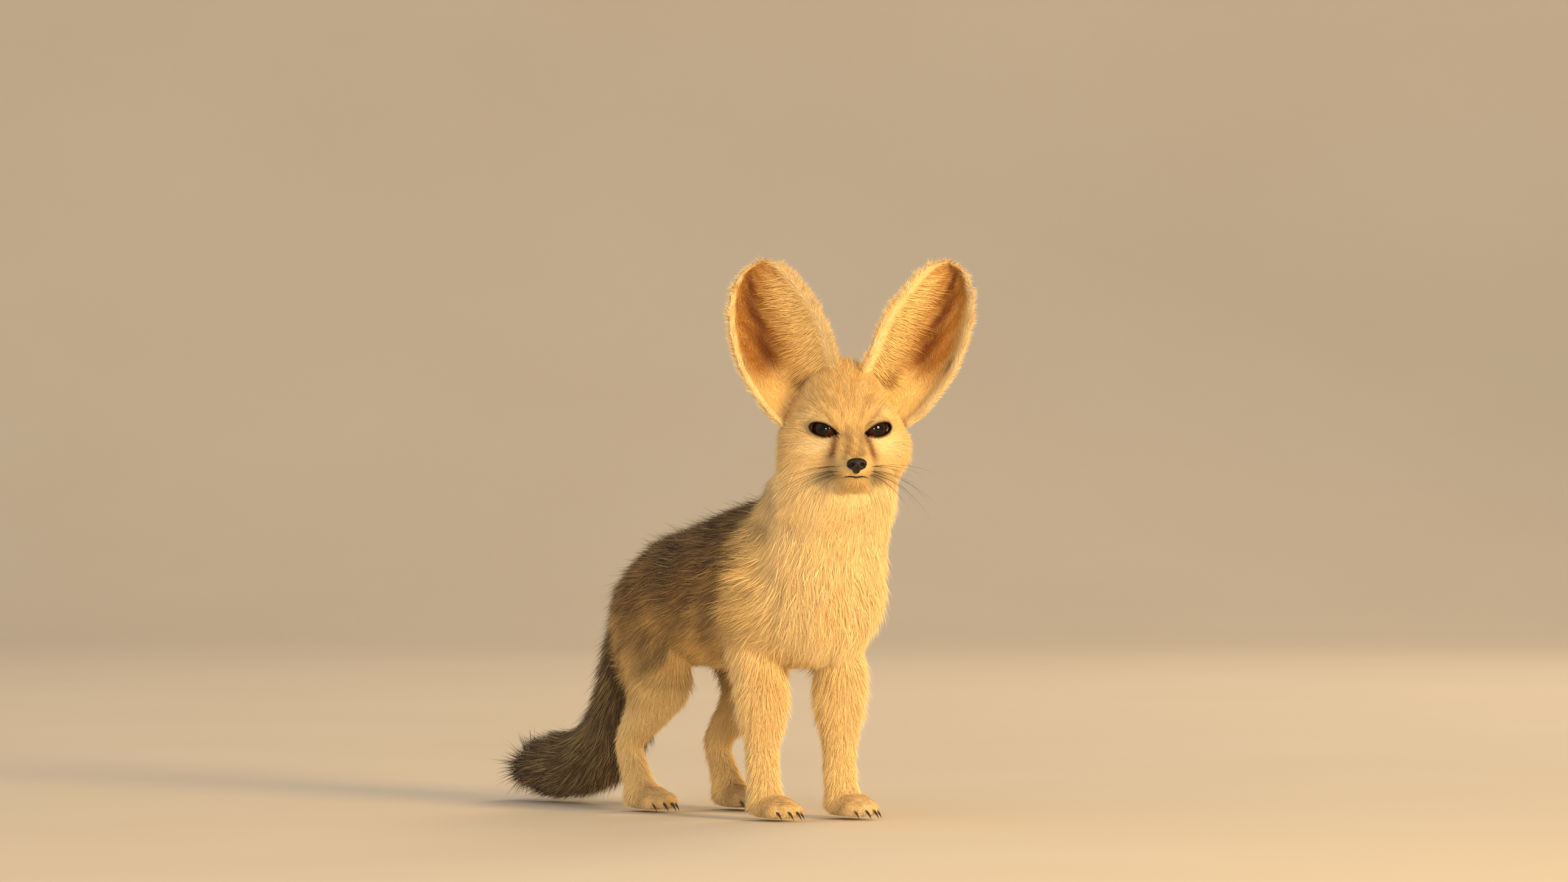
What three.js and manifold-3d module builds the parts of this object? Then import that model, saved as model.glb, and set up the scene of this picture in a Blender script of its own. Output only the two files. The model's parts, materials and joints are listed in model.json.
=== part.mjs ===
// A fennec fox standing alert on all fours, life size, in millimetres. +X is the way its trunk points,
// +Y its left and +Z up. The head is turned to its right. The soles lie on the floor.
import * as THREE from "three";
import { mergeVertices } from "three/addons/utils/BufferGeometryUtils.js";
import Module from "manifold-3d";

const wasm = await Module();
wasm.setup();

// Driving dimensions
const GAP = 0.3; // left between parts that touch
const WITHERS = 193; // height over the coat of the shoulders
const CROUP = 167; // and of the rump
const BELLY = 91;
const EYE_HEIGHT = 234;
const HEAD_AT = [104, -4, EYE_HEIGHT];
const HEAD_TURN = -29; // degrees, towards the fox's right
const EYE_RADIUS = 8.2;
const EYE_AT = [13.2, 14.4, 0]; // in the head's frame, left eye
const EYE_BACK = 1; // from the eyeball's middle to its flat back
const LID = 1.5; // thickness of the lids over the eyeball
const EAR_LEAN = 0.08; // how far both ears lean to the fox's left for each millimetre upwards
const FORE_TRACK = 24; // from the midline to a front paw
const HIND_TRACK = 27;
const FORE_REACH = { right: 47, left: 60 }; // how far forward each front leg stands
const HIND_REACH = { right: -76, left: -58 };
const SIDES = { left: 1, right: -1 };
// The coat: how far its core lies under the flesh forms below and its tips over them, its locks' length,
// greatest width and thickness, and the least share of a lock that its neighbours must leave of it
const COAT = {
  cheek: { under: 0, over: 4, length: 24, width: 11, thick: 1.8, spared: 0.7 },
  neck: { under: 3, over: 4, length: 46, width: 20, thick: 2.4, spared: 0.55 },
  trunk: { under: 5, over: 2, length: 52, width: 22, thick: 2.4, spared: 0.75 },
  thigh: { under: 3, over: 2, length: 40, width: 19, thick: 2, spared: 0.75 },
  tail: { under: 6, over: 1, length: 46, width: 15, thick: 2.2, spared: 0.82 },
};
const ROOT_DEPTH = 4; // of a lock's root inside the core
const LOCK_VARIES = 0.14; // share by which one lock's size differs from the next

// Colours of the coat and the bare parts
const fur = (color, roughness = 0.95) => new THREE.MeshStandardMaterial({ color, roughness });
const CREAM = fur("#efe3cc");
const SAND = fur("#d3b68a");
const DARK = fur("#4a3c30");
const EAR_FUR = fur("#e6c9a4");
const NOSE_SKIN = fur("#1d1614", 0.4);
const EYE_GLASS = fur("#1c0f08", 0.05);

const vec = (x, y, z) => new THREE.Vector3(x, y, z);
const UP = vec(0, 0, 1);
const FORWARD = vec(1, 0, 0);

// Solids from closed geometry, and back

/** The closed geometry as a solid with its faces outwards. */
function solid(geometry) {
  const bare = geometry.index ? geometry.toNonIndexed() : geometry.clone();
  const merged = mergeVertices(
    new THREE.BufferGeometry().setAttribute("position", bare.getAttribute("position")),
    1e-3,
  );
  const mesh = new wasm.Mesh({
    numProp: 3,
    vertProperties: merged.attributes.position.array,
    triVerts: new Uint32Array(merged.index.array),
  });
  const made = new wasm.Manifold(mesh);
  if (made.volume() < 0) throw new Error("a form is inside out");
  return made;
}

/** The solid's largest closed surface as a geometry. */
function geometryOf(made) {
  const pieces = made.decompose();
  const largest = pieces.reduce((a, b) => (b.volume() > a.volume() ? b : a));
  const mesh = largest.getMesh();
  return new THREE.BufferGeometry()
    .setAttribute("position", new THREE.BufferAttribute(mesh.vertProperties, 3))
    .setIndex(new THREE.BufferAttribute(mesh.triVerts, 1));
}

const join = (solids) => wasm.Manifold.union(solids);

/** Geometry from points and triangles. */
function geometry(points, faces) {
  return new THREE.BufferGeometry()
    .setAttribute("position", new THREE.Float32BufferAttribute(points.flatMap((p) => p.toArray()), 3))
    .setIndex(faces.flat());
}

/** A block that holds all on the far side of a plane through a point, offset along the plane's normal. */
function beyond(point, normal, offset = 0) {
  const depth = 300;
  const way = normal.clone().normalize();
  const block = new THREE.BoxGeometry(depth, depth, depth);
  block.applyQuaternion(new THREE.Quaternion().setFromUnitVectors(FORWARD, way));
  return solid(block.translate(...point.clone().addScaledVector(way, depth / 2 + offset).toArray()));
}

// Flesh: rounded closed forms along a spine of slices

/** One upright slice: its place along X, the heights of its top, widest line and bottom, and half its
 *  width. */
function slice(x, top, waist, bottom, half, y = 0) {
  return { at: [x, y, waist], girth: [half, top - waist, waist - bottom] };
}

/** One slice of a limb: its centre, and how far it reaches sideways, ahead and behind. */
function limb(x, y, z, side, ahead, behind) {
  return { at: [x, y, z], girth: [side, ahead, behind] };
}

/** Readies a form: its centre line and girth as smooth curves through the slices. The slices lie square
 *  to the centre line, or all square to X where the form is upright. */
function form({ slices, up = UP, sides = 12, rings = 6, caps = [8, 8], square = 2, bumps = [], upright }) {
  const curve = (key) =>
    new THREE.CatmullRomCurve3(slices.map((s) => vec(...s[key])), false, "catmullrom", 0.5);
  return { spine: curve("at"), girth: curve("girth"), up, sides, rings, caps, square, bumps, upright };
}

/** The point of a form's surface at s along its spine and an angle round it, grown outwards by grow.
 *  s from 0 to 1 is the main length; -1 to 0 and 1 to 2 are the rounded ends. */
function surface(f, s, angle, grow = 0) {
  const t = Math.min(Math.max(s, 0), 1);
  const past = s - t;
  const ahead = f.upright ? FORWARD.clone() : f.spine.getTangent(t);
  const side = f.up.clone().cross(ahead).normalize();
  const over = ahead.clone().cross(side);
  const centre = f.spine.getPoint(t);
  const girth = f.girth.getPoint(t);
  const shrink = Math.sqrt(Math.max(0, 1 - past * past));
  const cap = (past < 0 ? f.caps[0] : f.caps[1]) + grow;
  const power = (v) => Math.sign(v) * Math.abs(v) ** (2 / f.square);
  const across = power(Math.cos(angle)) * (girth.x + grow) * shrink;
  const rise = power(Math.sin(angle)) * ((Math.sin(angle) > 0 ? girth.y : girth.z) + grow) * shrink;
  const point = centre.clone().addScaledVector(ahead, past * cap);
  point.addScaledVector(side, across).addScaledVector(over, rise);
  for (const { at, reach, height } of f.bumps) {
    const near = Math.exp(-point.distanceToSquared(vec(...at)) / reach ** 2);
    const out = point.clone().sub(centre).normalize();
    point.addScaledVector(out, height * near);
  }
  return point;
}

// Where the rings of a rounded end stand, as shares of it, for finely and plainly divided forms
const CAP_STEPS = { fine: [0.96, 0.78, 0.45], plain: [0.9, 0.55] };
const FINE_SIDES = 20;

/** A form's whole surface as closed geometry, grown outwards by grow. */
function flesh(f, grow = 0) {
  const capSteps = f.sides >= FINE_SIDES ? CAP_STEPS.fine : CAP_STEPS.plain;
  const along = [
    ...capSteps.map((k) => -k),
    ...Array.from({ length: f.rings + 1 }, (_, i) => i / f.rings),
    ...capSteps.toReversed().map((k) => 1 + k),
  ];
  const points = along.flatMap((s) =>
    Array.from({ length: f.sides }, (_, j) => surface(f, s, (2 * Math.PI * j) / f.sides, grow)),
  );
  const tail = points.push(surface(f, -1, 0, grow)) - 1;
  const tip = points.push(surface(f, 2, 0, grow)) - 1;
  const faces = [];
  const last = (along.length - 1) * f.sides;
  for (let j = 0; j < f.sides; j++) {
    const k = (j + 1) % f.sides;
    faces.push([tail, k, j], [tip, last + j, last + k]);
    for (let row = 0; row < last; row += f.sides) {
      const [a, b, c, d] = [row + j, row + k, row + f.sides + k, row + f.sides + j];
      faces.push([a, b, c], [a, c, d]);
    }
  }
  return geometry(points, faces);
}

/** A ball or egg as closed geometry. */
function egg(at, radii, turn = [0, 0, 0], sides = 12, rows = 8) {
  const made = new THREE.SphereGeometry(1, sides, rows);
  made.scale(...radii);
  made.applyMatrix4(new THREE.Matrix4().makeRotationFromEuler(new THREE.Euler(...turn)));
  return made.translate(...at);
}

/** The two sides of a thing that is made for the left at y > 0. */
const mirrored = (x, y, z) => [[x, y, z], [x, -y, z]];

// Coat: flat tapered locks that lie along the flesh

/** The next number of a repeatable random row, from -1 to 1. */
function randomRow(seed) {
  let state = seed;
  return () => {
    state = (Math.imul(state, 1664525) + 1013904223) >>> 0;
    return state / 2 ** 31 - 1;
  };
}

/** Where a walk over a form's surface from s and angle leads, for a step given in space. */
function walk(f, s, angle, step) {
  const tiny = 0.004;
  const here = surface(f, s, angle);
  const alongS = surface(f, s + tiny, angle).sub(here).divideScalar(tiny);
  const alongA = surface(f, s, angle + tiny).sub(here).divideScalar(tiny);
  const [ss, sa, aa] = [alongS.dot(alongS), alongS.dot(alongA), alongA.dot(alongA)];
  const [ds, da] = [alongS.dot(step), alongA.dot(step)];
  const area = ss * aa - sa * sa;
  return [s + (ds * aa - da * sa) / area, angle + (da * ss - ds * sa) / area];
}

/** The outward direction of a form's surface. */
function outward(f, s, angle) {
  const tiny = 0.004;
  const here = surface(f, s, angle);
  const alongS = surface(f, s + tiny, angle).sub(here);
  const alongA = surface(f, s, angle + tiny).sub(here);
  return alongA.cross(alongS).normalize();
}

const LINE_STEPS = 12;
const END = 0.8; // share of a rounded end past which a lock hangs free along its lie

/** The line that a lock follows from s and angle: its places, with the ways outwards and ahead there, over
 *  the form's surface and freely past its ends. */
function hairLine(f, [s, angle], length, lie) {
  const line = [];
  const place = vec();
  let out = UP;
  for (let i = 0; i <= LINE_STEPS; i++) {
    const ahead = lie(place, s).setLength(length / LINE_STEPS);
    if (s > -END && s < 1 + END) {
      place.copy(surface(f, s, angle));
      out = outward(f, s, angle);
      ahead.copy(lie(place, s)).projectOnPlane(out).setLength(length / LINE_STEPS);
      [s, angle] = walk(f, s, angle, ahead);
    } else {
      out = out.clone().projectOnPlane(ahead).normalize();
    }
    line.push({ place: place.clone(), out, ahead: ahead.clone().normalize() });
    place.add(ahead);
  }
  return line;
}

// Steps along a lock, its share of the full width there, and how far its underside has risen: from its
// root inside the core at -1, over the core's surface at 0, to the coat's outline at 1
const LOCK_STATIONS = [[0, 0.66, -1], [4, 1, 0.06], [8, 0.8, 0.5]];

/** A flat lock of hair as closed geometry, rooted in the form at a place (s and angle) and grown outwards by
 *  grow. It rises from its root in the core to the outline of the coat, and ends in a point. */
function lock(f, at, { under, over, length, width, thick }, lie, grow = 0) {
  const line = hairLine(f, at, length, lie);
  const wider = 1 + (2 * grow) / thick;
  let middle;
  const points = LOCK_STATIONS.flatMap(([step, share, risen]) => {
    const { place, out, ahead } = line[step];
    const side = out.clone().cross(ahead);
    const rise = -under + (risen < 0 ? risen * ROOT_DEPTH : risen * (under + over)) + thick / 2;
    const half = (width * share) / 2;
    middle = place.addScaledVector(out, rise).addScaledVector(ahead, step === 0 ? -grow : 0);
    return [[-half, -thick / 2], [half, -thick / 2], [0, thick / 2]].map(([across, up]) =>
      middle.clone().addScaledVector(side, across * wider).addScaledVector(out, up * wider));
  });
  const { place, out } = line[LINE_STEPS];
  points.push(place.addScaledVector(out, over).sub(middle).multiplyScalar(wider).add(middle));
  const faces = [[0, 2, 1]];
  const tip = points.length - 1;
  for (let j = 0; j < 3; j++) {
    const k = (j + 1) % 3;
    for (let row = 0; row < tip - 3; row += 3) {
      faces.push([row + j, row + k, row + 3 + k], [row + j, row + 3 + k, row + 3 + j]);
    }
    faces.push([tip - 3 + j, tip - 3 + k, tip]);
  }
  return geometry(points, faces);
}

/** The places and sizes of a coat's locks: staggered rows round a form, evenly from one s to another. */
function rows(f, size, { from, to, count, around, keep = () => true, seed }) {
  const random = randomRow(seed);
  const placed = [];
  for (let i = 0; i < count; i++) {
    const s = THREE.MathUtils.lerp(from, to, i / Math.max(count - 1, 1));
    for (let j = 0; j < around; j++) {
      const at = [s, (2 * Math.PI * (j + (i % 2) / 2 + 0.1 * random())) / around];
      const varied = { ...size };
      for (const key of ["length", "width"]) varied[key] *= 1 + LOCK_VARIES * random();
      if (keep(surface(f, ...at), outward(f, ...at))) placed.push({ at, size: varied });
    }
  }
  return placed;
}

/** A core with its locks, each cut clear of what it would cross, and the same locks grown by the gap, put
 *  in the body's frame, for the parts that these locks cross. */
function dress(core, f, placed, lie, crossed, toBody = new THREE.Matrix4()) {
  const kept = [];
  const grown = [];
  for (const { at, size } of placed) {
    const whole = solid(lock(f, at, size, lie));
    const cut = crossed.reduce((made, other) => made.subtract(other), whole);
    if (cut.volume() < size.spared * whole.volume()) continue;
    kept.push(cut);
    grown.push(solid(lock(f, at, size, lie, GAP).applyMatrix4(toBody)));
  }
  return { made: join([core, ...kept]), grown: join(grown) };
}

// Head, in its own frame: eye level is z = 0 and the muzzle points along +X

const bump = (at, reach, height) => mirrored(...at).map((place) => ({ at: place, reach, height }));

const SKULL = form({
  slices: [
    slice(-30, 32, -4, -32, 31),
    slice(-18, 39, -7, -34, 37),
    slice(-6, 39, -9, -33, 38),
    slice(5, 31, -10, -31, 34),
    slice(14, 20, -11, -30, 26.5),
    slice(22, 4, -16, -30, 17),
    slice(30, -9.5, -19, -28.5, 12),
    slice(38, -14.5, -21, -27.5, 9.2),
  ],
  sides: 24,
  rings: 16,
  caps: [16, 5],
  square: 2.15,
  upright: true,
  bumps: [
    ...bump([12, 24, -16], 12, 2.2), // cheekbones
    ...bump([10, 17, 13], 8, 2), // brows
    ...bump([22, 9, -3], 5, -1.6), // hollows at the inner corners of the eyes
    ...bump([33, 9, -23], 6, 1.6), // whisker pads
  ],
});

const JAW = form({
  slices: [slice(0, -22, -28, -36, 20), slice(16, -24, -28, -34, 13.5), slice(32, -25.5, -28, -31.5, 7.5)],
  sides: 12,
  rings: 5,
  caps: [10, 4.5],
  upright: true,
});

/** The front of an eyeball, or of its socket when grown, on the side y > 0 or y < 0. */
function eyeDome(side, grow = 0) {
  const at = vec(EYE_AT[0], EYE_AT[1] * side, EYE_AT[2]);
  const ball = solid(egg(at.toArray(), Array(3).fill(EYE_RADIUS + grow), [0, Math.PI / 2, 0], 14, 10));
  return ball.intersect(beyond(at, FORWARD, -EYE_BACK - grow));
}

/** The almond that the lids leave open, as a prism along the way the eye looks. */
function lidOpening(side) {
  const [inner, outer] = [new THREE.Vector2(-8.5, -2.4), new THREE.Vector2(8.5, 2.3)];
  const [upper, lower] = [new THREE.Vector2(3, 8.4), new THREE.Vector2(0, -7.9)];
  const shape = new THREE.Shape();
  shape.moveTo(...inner);
  shape.quadraticCurveTo(...upper, ...outer);
  shape.quadraticCurveTo(...lower, ...inner);
  const prism = new THREE.ExtrudeGeometry(shape, { depth: 20, bevelEnabled: false, curveSegments: 5 });
  // The shape's x runs from the inner corner outwards, and its depth runs forward out of the head.
  const look = new THREE.Matrix4().makeBasis(vec(-0.28, 0.96, 0), UP, vec(0.96, 0.28, 0));
  prism.applyMatrix4(look).translate(EYE_AT[0], EYE_AT[1], EYE_AT[2]);
  return side > 0 ? prism : flipped(prism);
}

/** The mirror image over the midline, with its faces still outwards. */
function flipped(made) {
  const bare = made.index ? made.toNonIndexed() : made.clone();
  const place = bare.getAttribute("position");
  for (let i = 0; i < place.count; i++) place.setY(i, -place.getY(i));
  for (let i = 0; i < place.count; i += 3) {
    const [a, b] = [i + 1, i + 2].map((n) => vec().fromBufferAttribute(place, n));
    place.setXYZ(i + 1, ...b.toArray());
    place.setXYZ(i + 2, ...a.toArray());
  }
  return bare;
}

/** The groove of the closed mouth, from under the nose back to the corners. */
function mouthGroove() {
  const line = [
    [12, 19.5, -25], [22, 15, -26.5], [31, 10.5, -26], [38, 6, -25.2], [42.5, 0, -25.6],
    [38, -6, -25.2], [31, -10.5, -26], [22, -15, -26.5], [12, -19.5, -25],
  ];
  const path = new THREE.CatmullRomCurve3(line.map((p) => vec(...p)));
  const shape = new THREE.Shape();
  shape.moveTo(-0.55, -2).lineTo(0.55, -2).lineTo(0.55, 2).lineTo(-0.55, 2).closePath();
  return new THREE.ExtrudeGeometry(shape, { steps: 16, extrudePath: path });
}

const NOSE_AT = [42.8, 0, -18.4];

/** The nose pad, with its nostrils and the groove between them. */
function nosePad() {
  const pad = join([
    solid(egg(NOSE_AT, [4.6, 5.8, 3.9], [0, 0.25, 0], 12, 8)),
    solid(egg([42.2, 0, -21.4], [4, 2.6, 3.4], [0, 0, 0], 10, 6)),
  ]);
  const nostrils = mirrored(46.6, 3.1, -18.9).map((at) => {
    const lean = at[1] > 0 ? -0.5 : 0.5;
    return solid(egg(at, [2.4, 1.7, 1.1], [lean, 0, lean], 8, 5));
  });
  return pad.subtract(join(nostrils));
}

/** The whole head without the ears, with sockets that the eyes and the nose pad sit in. */
function headSolid() {
  const lidRadii = Array(3).fill(EYE_RADIUS + LID);
  const lids = mirrored(...EYE_AT).map((at) => solid(egg(at, lidRadii, [0, 0, 0], 14, 8)));
  const sockets = Object.values(SIDES).map((side) => eyeDome(side, GAP));
  const openings = Object.values(SIDES).map((side) => solid(lidOpening(side)));
  const noseSeat = [
    solid(egg(NOSE_AT, [4.9, 6.1, 4.2], [0, 0.25, 0], 12, 8)),
    solid(egg([42.2, 0, -21.4], [4.3, 2.9, 3.7], [0, 0, 0], 10, 6)),
  ];
  return join([solid(flesh(SKULL)), solid(flesh(JAW)), ...lids])
    .subtract(join([...sockets, ...openings, ...noseSeat, solid(mouthGroove())]));
}

// Ears: a cupped leaf between an inner and an outer edge

const EAR = {
  inner: [[0, 5, 32], [1, 10, 44], [-3, 19, 66], [-8, 31, 84], [-13, 44, 97], [-16, 56, 100.5]],
  outer: [
    [-2, 43, -2], [-5, 55, 17], [-9, 65, 36], [-13, 70.5, 56], [-16, 72, 75], [-17, 67, 93], [-16, 56, 100.5],
  ],
  depth: [17, 20, 18, 14, 8, 1],
  lowest: 0.16, // where across the ear the cup is deepest, from -1 at the inner edge to 1
  steps: 13,
  across: 10,
};

/** A number read along a list at t from 0 to 1. */
function along(list, t) {
  const place = t * (list.length - 1);
  const i = Math.min(Math.floor(place), list.length - 2);
  return THREE.MathUtils.lerp(list[i], list[i + 1], place - i);
}

/** A left ear as closed geometry: the same grid of triangles on its inside and its back. */
function earShell() {
  const edge = (list) => new THREE.CatmullRomCurve3(list.map((p) => vec(...p)));
  const [inner, outer] = [edge(EAR.inner), edge(EAR.outer)];
  const back = vec(-0.97, 0.2, -0.1).normalize();
  const points = [];
  const faces = [];
  for (const behind of [0, 1]) {
    for (let i = 0; i <= EAR.steps; i++) {
      const t = 1 - (1 - i / EAR.steps) ** 1.15;
      for (let j = 0; j <= EAR.across; j++) {
        const v = -Math.cos((Math.PI * j) / EAR.across);
        const skew = (v - EAR.lowest) / (v < EAR.lowest ? 1 + EAR.lowest : 1 - EAR.lowest);
        const cup = along(EAR.depth, t) * (1 - skew * skew) ** 0.8;
        const wall = (1.1 + 2.2 * (1 - Math.abs(v) ** 4) * (1 - t) ** 0.5) * behind;
        const point = inner.getPoint(t).lerp(outer.getPoint(t), (v + 1) / 2);
        points.push(point.addScaledVector(back, cup + wall));
      }
    }
  }
  const row = EAR.across + 1;
  const layer = row * (EAR.steps + 1);
  const quad = (a, b, c, d) => faces.push([a, b, c], [a, c, d]);
  for (let i = 0; i < EAR.steps; i++) {
    for (let j = 0; j < EAR.across; j++) {
      const [a, b, c, d] = [i * row + j, i * row + j + 1, (i + 1) * row + j + 1, (i + 1) * row + j];
      quad(a, b, c, d);
      faces.push([a + layer, c + layer, b + layer], [a + layer, d + layer, c + layer]);
    }
    const [e, g] = [i * row, i * row + EAR.across];
    quad(e, e + row, e + row + layer, e + layer);
    quad(g + layer, g + row + layer, g + row, g);
  }
  const top = EAR.steps * row;
  for (let j = 0; j < EAR.across; j++) {
    quad(j + layer, j + 1 + layer, j + 1, j);
    quad(top + j, top + j + 1, top + j + 1 + layer, top + j + layer);
  }
  return geometry(points, faces);
}

// Trunk, neck and tail

const TRUNK = form({
  slices: [
    slice(-96, 150, 122, 92, 30),
    slice(-66, CROUP, 128, 91, 42),
    slice(-34, 175, 131, BELLY, 45),
    slice(0, 185, 135, BELLY - 1, 45),
    slice(30, WITHERS, 139, BELLY - 1, 46),
    slice(58, 190, 140, BELLY - 1, 45),
    slice(82, 172, 134, 94, 37),
  ],
  sides: 16,
  rings: 8,
  caps: [20, 22],
  square: 2.15,
  upright: true,
  bumps: bump([46, 44, 132], 24, 4), // shoulders
});

const NECK = form({
  slices: [
    { at: [50, 0, 150], girth: [40, 43, 42] },
    { at: [74, -1, 176], girth: [38, 36, 38] },
    { at: [90, -2, 202], girth: [38, 32, 36] },
    { at: [98, -3, 224], girth: [33, 28, 31] },
  ],
  up: vec(-1, 0, 0.6),
  sides: 16,
  rings: 5,
  caps: [10, 10],
});

const TAIL = form({
  slices: [
    { at: [-88, -2, 144], girth: [11, 11, 11] },
    { at: [-104, -3, 132], girth: [13, 13, 13] },
    { at: [-112, -5, 109], girth: [16, 16, 15] },
    { at: [-116, -6, 82], girth: [18, 18, 17] },
    { at: [-123, -7, 55], girth: [20, 20, 19] },
    { at: [-141, -8, 34], girth: [21, 21, 20] },
    { at: [-164, -9, 26], girth: [21, 20, 20.5] },
    { at: [-188, -10, 23], girth: [19, 18.5, 19] },
    { at: [-203, -10, 21], girth: [15, 15, 15] },
  ],
  up: vec(-1, 0, 0.8),
  sides: 10,
  rings: 13,
  caps: [6, 34],
});

// Legs

/** A front leg from the shoulder to the wrist. */
function foreleg(side) {
  const x = FORE_REACH[side];
  const y = SIDES[side] * FORE_TRACK;
  return form({
    slices: [
      limb(x - 6, y, 132, 15, 20, 20),
      limb(x - 4, y, 108, 14.5, 16, 22),
      limb(x, y, 88, 13.5, 14, 15.5),
      limb(x + 1, y, 64, 12, 11.5, 12.5),
      limb(x + 1, y, 42, 9.6, 9.4, 10),
      limb(x + 1, y, 28, 9.8, 9.8, 9.6),
      limb(x + 4, y, 13, 9.2, 9.2, 9),
    ],
    up: FORWARD,
    sides: 12,
    rings: 7,
    caps: [10, 4],
  });
}

/** A hind leg's thigh, its shin to the hock, and the foot's upright length. */
function hindleg(side) {
  const x = HIND_REACH[side];
  const y = (track) => SIDES[side] * track;
  const thigh = form({
    slices: [
      limb(x + 8, y(22), 136, 18, 27, 24),
      limb(x + 18, y(27), 112, 20, 30, 31),
      limb(x + 31, y(29), 86, 16, 20, 29),
    ],
    up: FORWARD,
    sides: 12,
    rings: 5,
    caps: [12, 12],
  });
  const shin = form({
    slices: [
      limb(x + 34, y(29), 82, 14, 16, 21),
      limb(x + 17, y(28), 64, 11.5, 13, 18),
      limb(x - 2, y(HIND_TRACK), 50, 9.4, 9.5, 11),
      limb(x - 9, y(HIND_TRACK), 42, 8.6, 8.5, 9.5),
    ],
    up: FORWARD,
    sides: 10,
    rings: 5,
    caps: [8, 6],
  });
  const cannon = form({
    slices: [
      limb(x - 10, y(HIND_TRACK), 42, 8.6, 8.6, 9),
      limb(x - 4, y(HIND_TRACK), 27, 8.6, 8.6, 8.6),
      limb(x + 4, y(HIND_TRACK), 13, 9.6, 9, 9),
    ],
    up: FORWARD,
    sides: 10,
    rings: 3,
    caps: [7, 4],
  });
  return { thigh, shin, cannon };
}

/** A paw as one solid: pad, four toes and claws, cut flat at the floor. */
function paw(x, y) {
  const pad = form({
    slices: [
      limb(x - 4, y, 8, 9.8, 9, 10.5),
      limb(x + 6, y, 8.4, 11.6, 8.6, 11.5),
      limb(x + 15, y, 7.4, 11.4, 7, 9.5),
    ],
    up: UP,
    sides: 8,
    rings: 3,
    caps: [7, 6],
  });
  const toes = [-8.4, -2.9, 2.9, 8.4].flatMap((across) => {
    const reach = x + (Math.abs(across) > 5 ? 17.5 : 22);
    const claw = new THREE.ConeGeometry(1.2, 6.5, 3);
    claw.rotateZ(-Math.PI / 2 - 0.5).translate(reach + 6, y + across, 4.2);
    return [solid(egg([reach, y + across, 6.3], [6.4, 4.3, 5.6], [0, 0, 0], 6, 4)), solid(claw)];
  });
  const floor = solid(new THREE.BoxGeometry(200, 200, 20).translate(x, y, -10));
  return join([solid(flesh(pad)), ...toes]).subtract(floor);
}

// Putting the fox together

const fox = new THREE.Group();
const head = new THREE.Group();
head.position.set(...HEAD_AT);
head.rotation.z = THREE.MathUtils.degToRad(HEAD_TURN);
fox.add(head);
head.updateMatrixWorld(true);

/** Adds a solid to a group as a named part. */
function add(group, name, made, material) {
  const mesh = new THREE.Mesh(geometryOf(made), material);
  mesh.name = name;
  group.add(mesh);
}

/** Parts a solid with a thin cut into what lies beyond a plane and what lies before it. */
function part(made, point, normal) {
  return [
    made.intersect(beyond(point, normal, GAP / 2)),
    made.subtract(beyond(point, normal, -GAP / 2)),
  ];
}

const grownSkull = join([solid(flesh(SKULL, GAP)), solid(flesh(JAW, GAP))]);
const earLean = new THREE.Matrix4().makeShear(0, 0, 0, 0, 0, EAR_LEAN);
const toHead = head.matrix.clone().invert();

/** A form's core under its coat, grown outwards by grow. */
const core = (f, coat, grow = 0) => flesh(f, grow - coat.under);

/** Thin cuts that part the body: a point on each and the way to what lies beyond it. */
const CUTS = {
  throat: [vec(98, 0, 197), UP],
  neckBase: [vec(78, 0, 164), vec(0.6, 0, 0.8)],
  elbow: [vec(0, 0, 94), UP],
  tailRoot: [vec(-120, 0, 96), vec(-0.2, 0, -1)],
  tailTip: [vec(-152, 0, 24), vec(-1, 0, 0)],
};
const past = ([point, normal], place) => place.clone().sub(point).dot(normal) > 0;
const above = ([point, normal]) => beyond(point, normal, GAP / 2);
const below = ([point, normal]) => beyond(point, normal.clone().negate(), GAP / 2);
/** All that isn't strictly above, or below, a cut: what the locks of the other side keep clear of. */
const upTo = ([point, normal]) => beyond(point, normal.clone().negate(), -GAP / 2);
const downTo = ([point, normal]) => beyond(point, normal, -GAP / 2);

// The head, with the top of the throat and locks on the cheeks
const throat = solid(core(NECK, COAT.neck).applyMatrix4(toHead));
const throatGrown = solid(core(NECK, COAT.neck, GAP).applyMatrix4(toHead));
const aboveThroat = beyond(CUTS.throat[0].clone().applyMatrix4(toHead), UP, GAP / 2);
const cheekRows = rows(SKULL, COAT.cheek, {
  from: 0.48,
  to: 0.1,
  count: 3,
  around: 16,
  keep: (point) => point.z < -6 && point.z > -28 && Math.abs(point.y) > 17,
  seed: 11,
});
const cheekLie = (point) => vec(-0.8, 0.3 * Math.sign(point.y), -0.6);
const headCore = join([headSolid(), throat.intersect(aboveThroat)]);
const lowerNeck = throatGrown.subtract(aboveThroat);
const headCoat = dress(headCore, SKULL, cheekRows, cheekLie, [lowerNeck], head.matrix);
add(head, "head", headCoat.made, CREAM);
add(head, "nose", nosePad(), NOSE_SKIN);
for (const [name, side] of Object.entries(SIDES)) {
  add(head, "eye_" + name, eyeDome(side), EYE_GLASS);
  const shell = solid((side > 0 ? earShell() : flipped(earShell())).applyMatrix4(earLean));
  add(head, "ear_" + name, shell.subtract(grownSkull), EAR_FUR);
}

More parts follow.
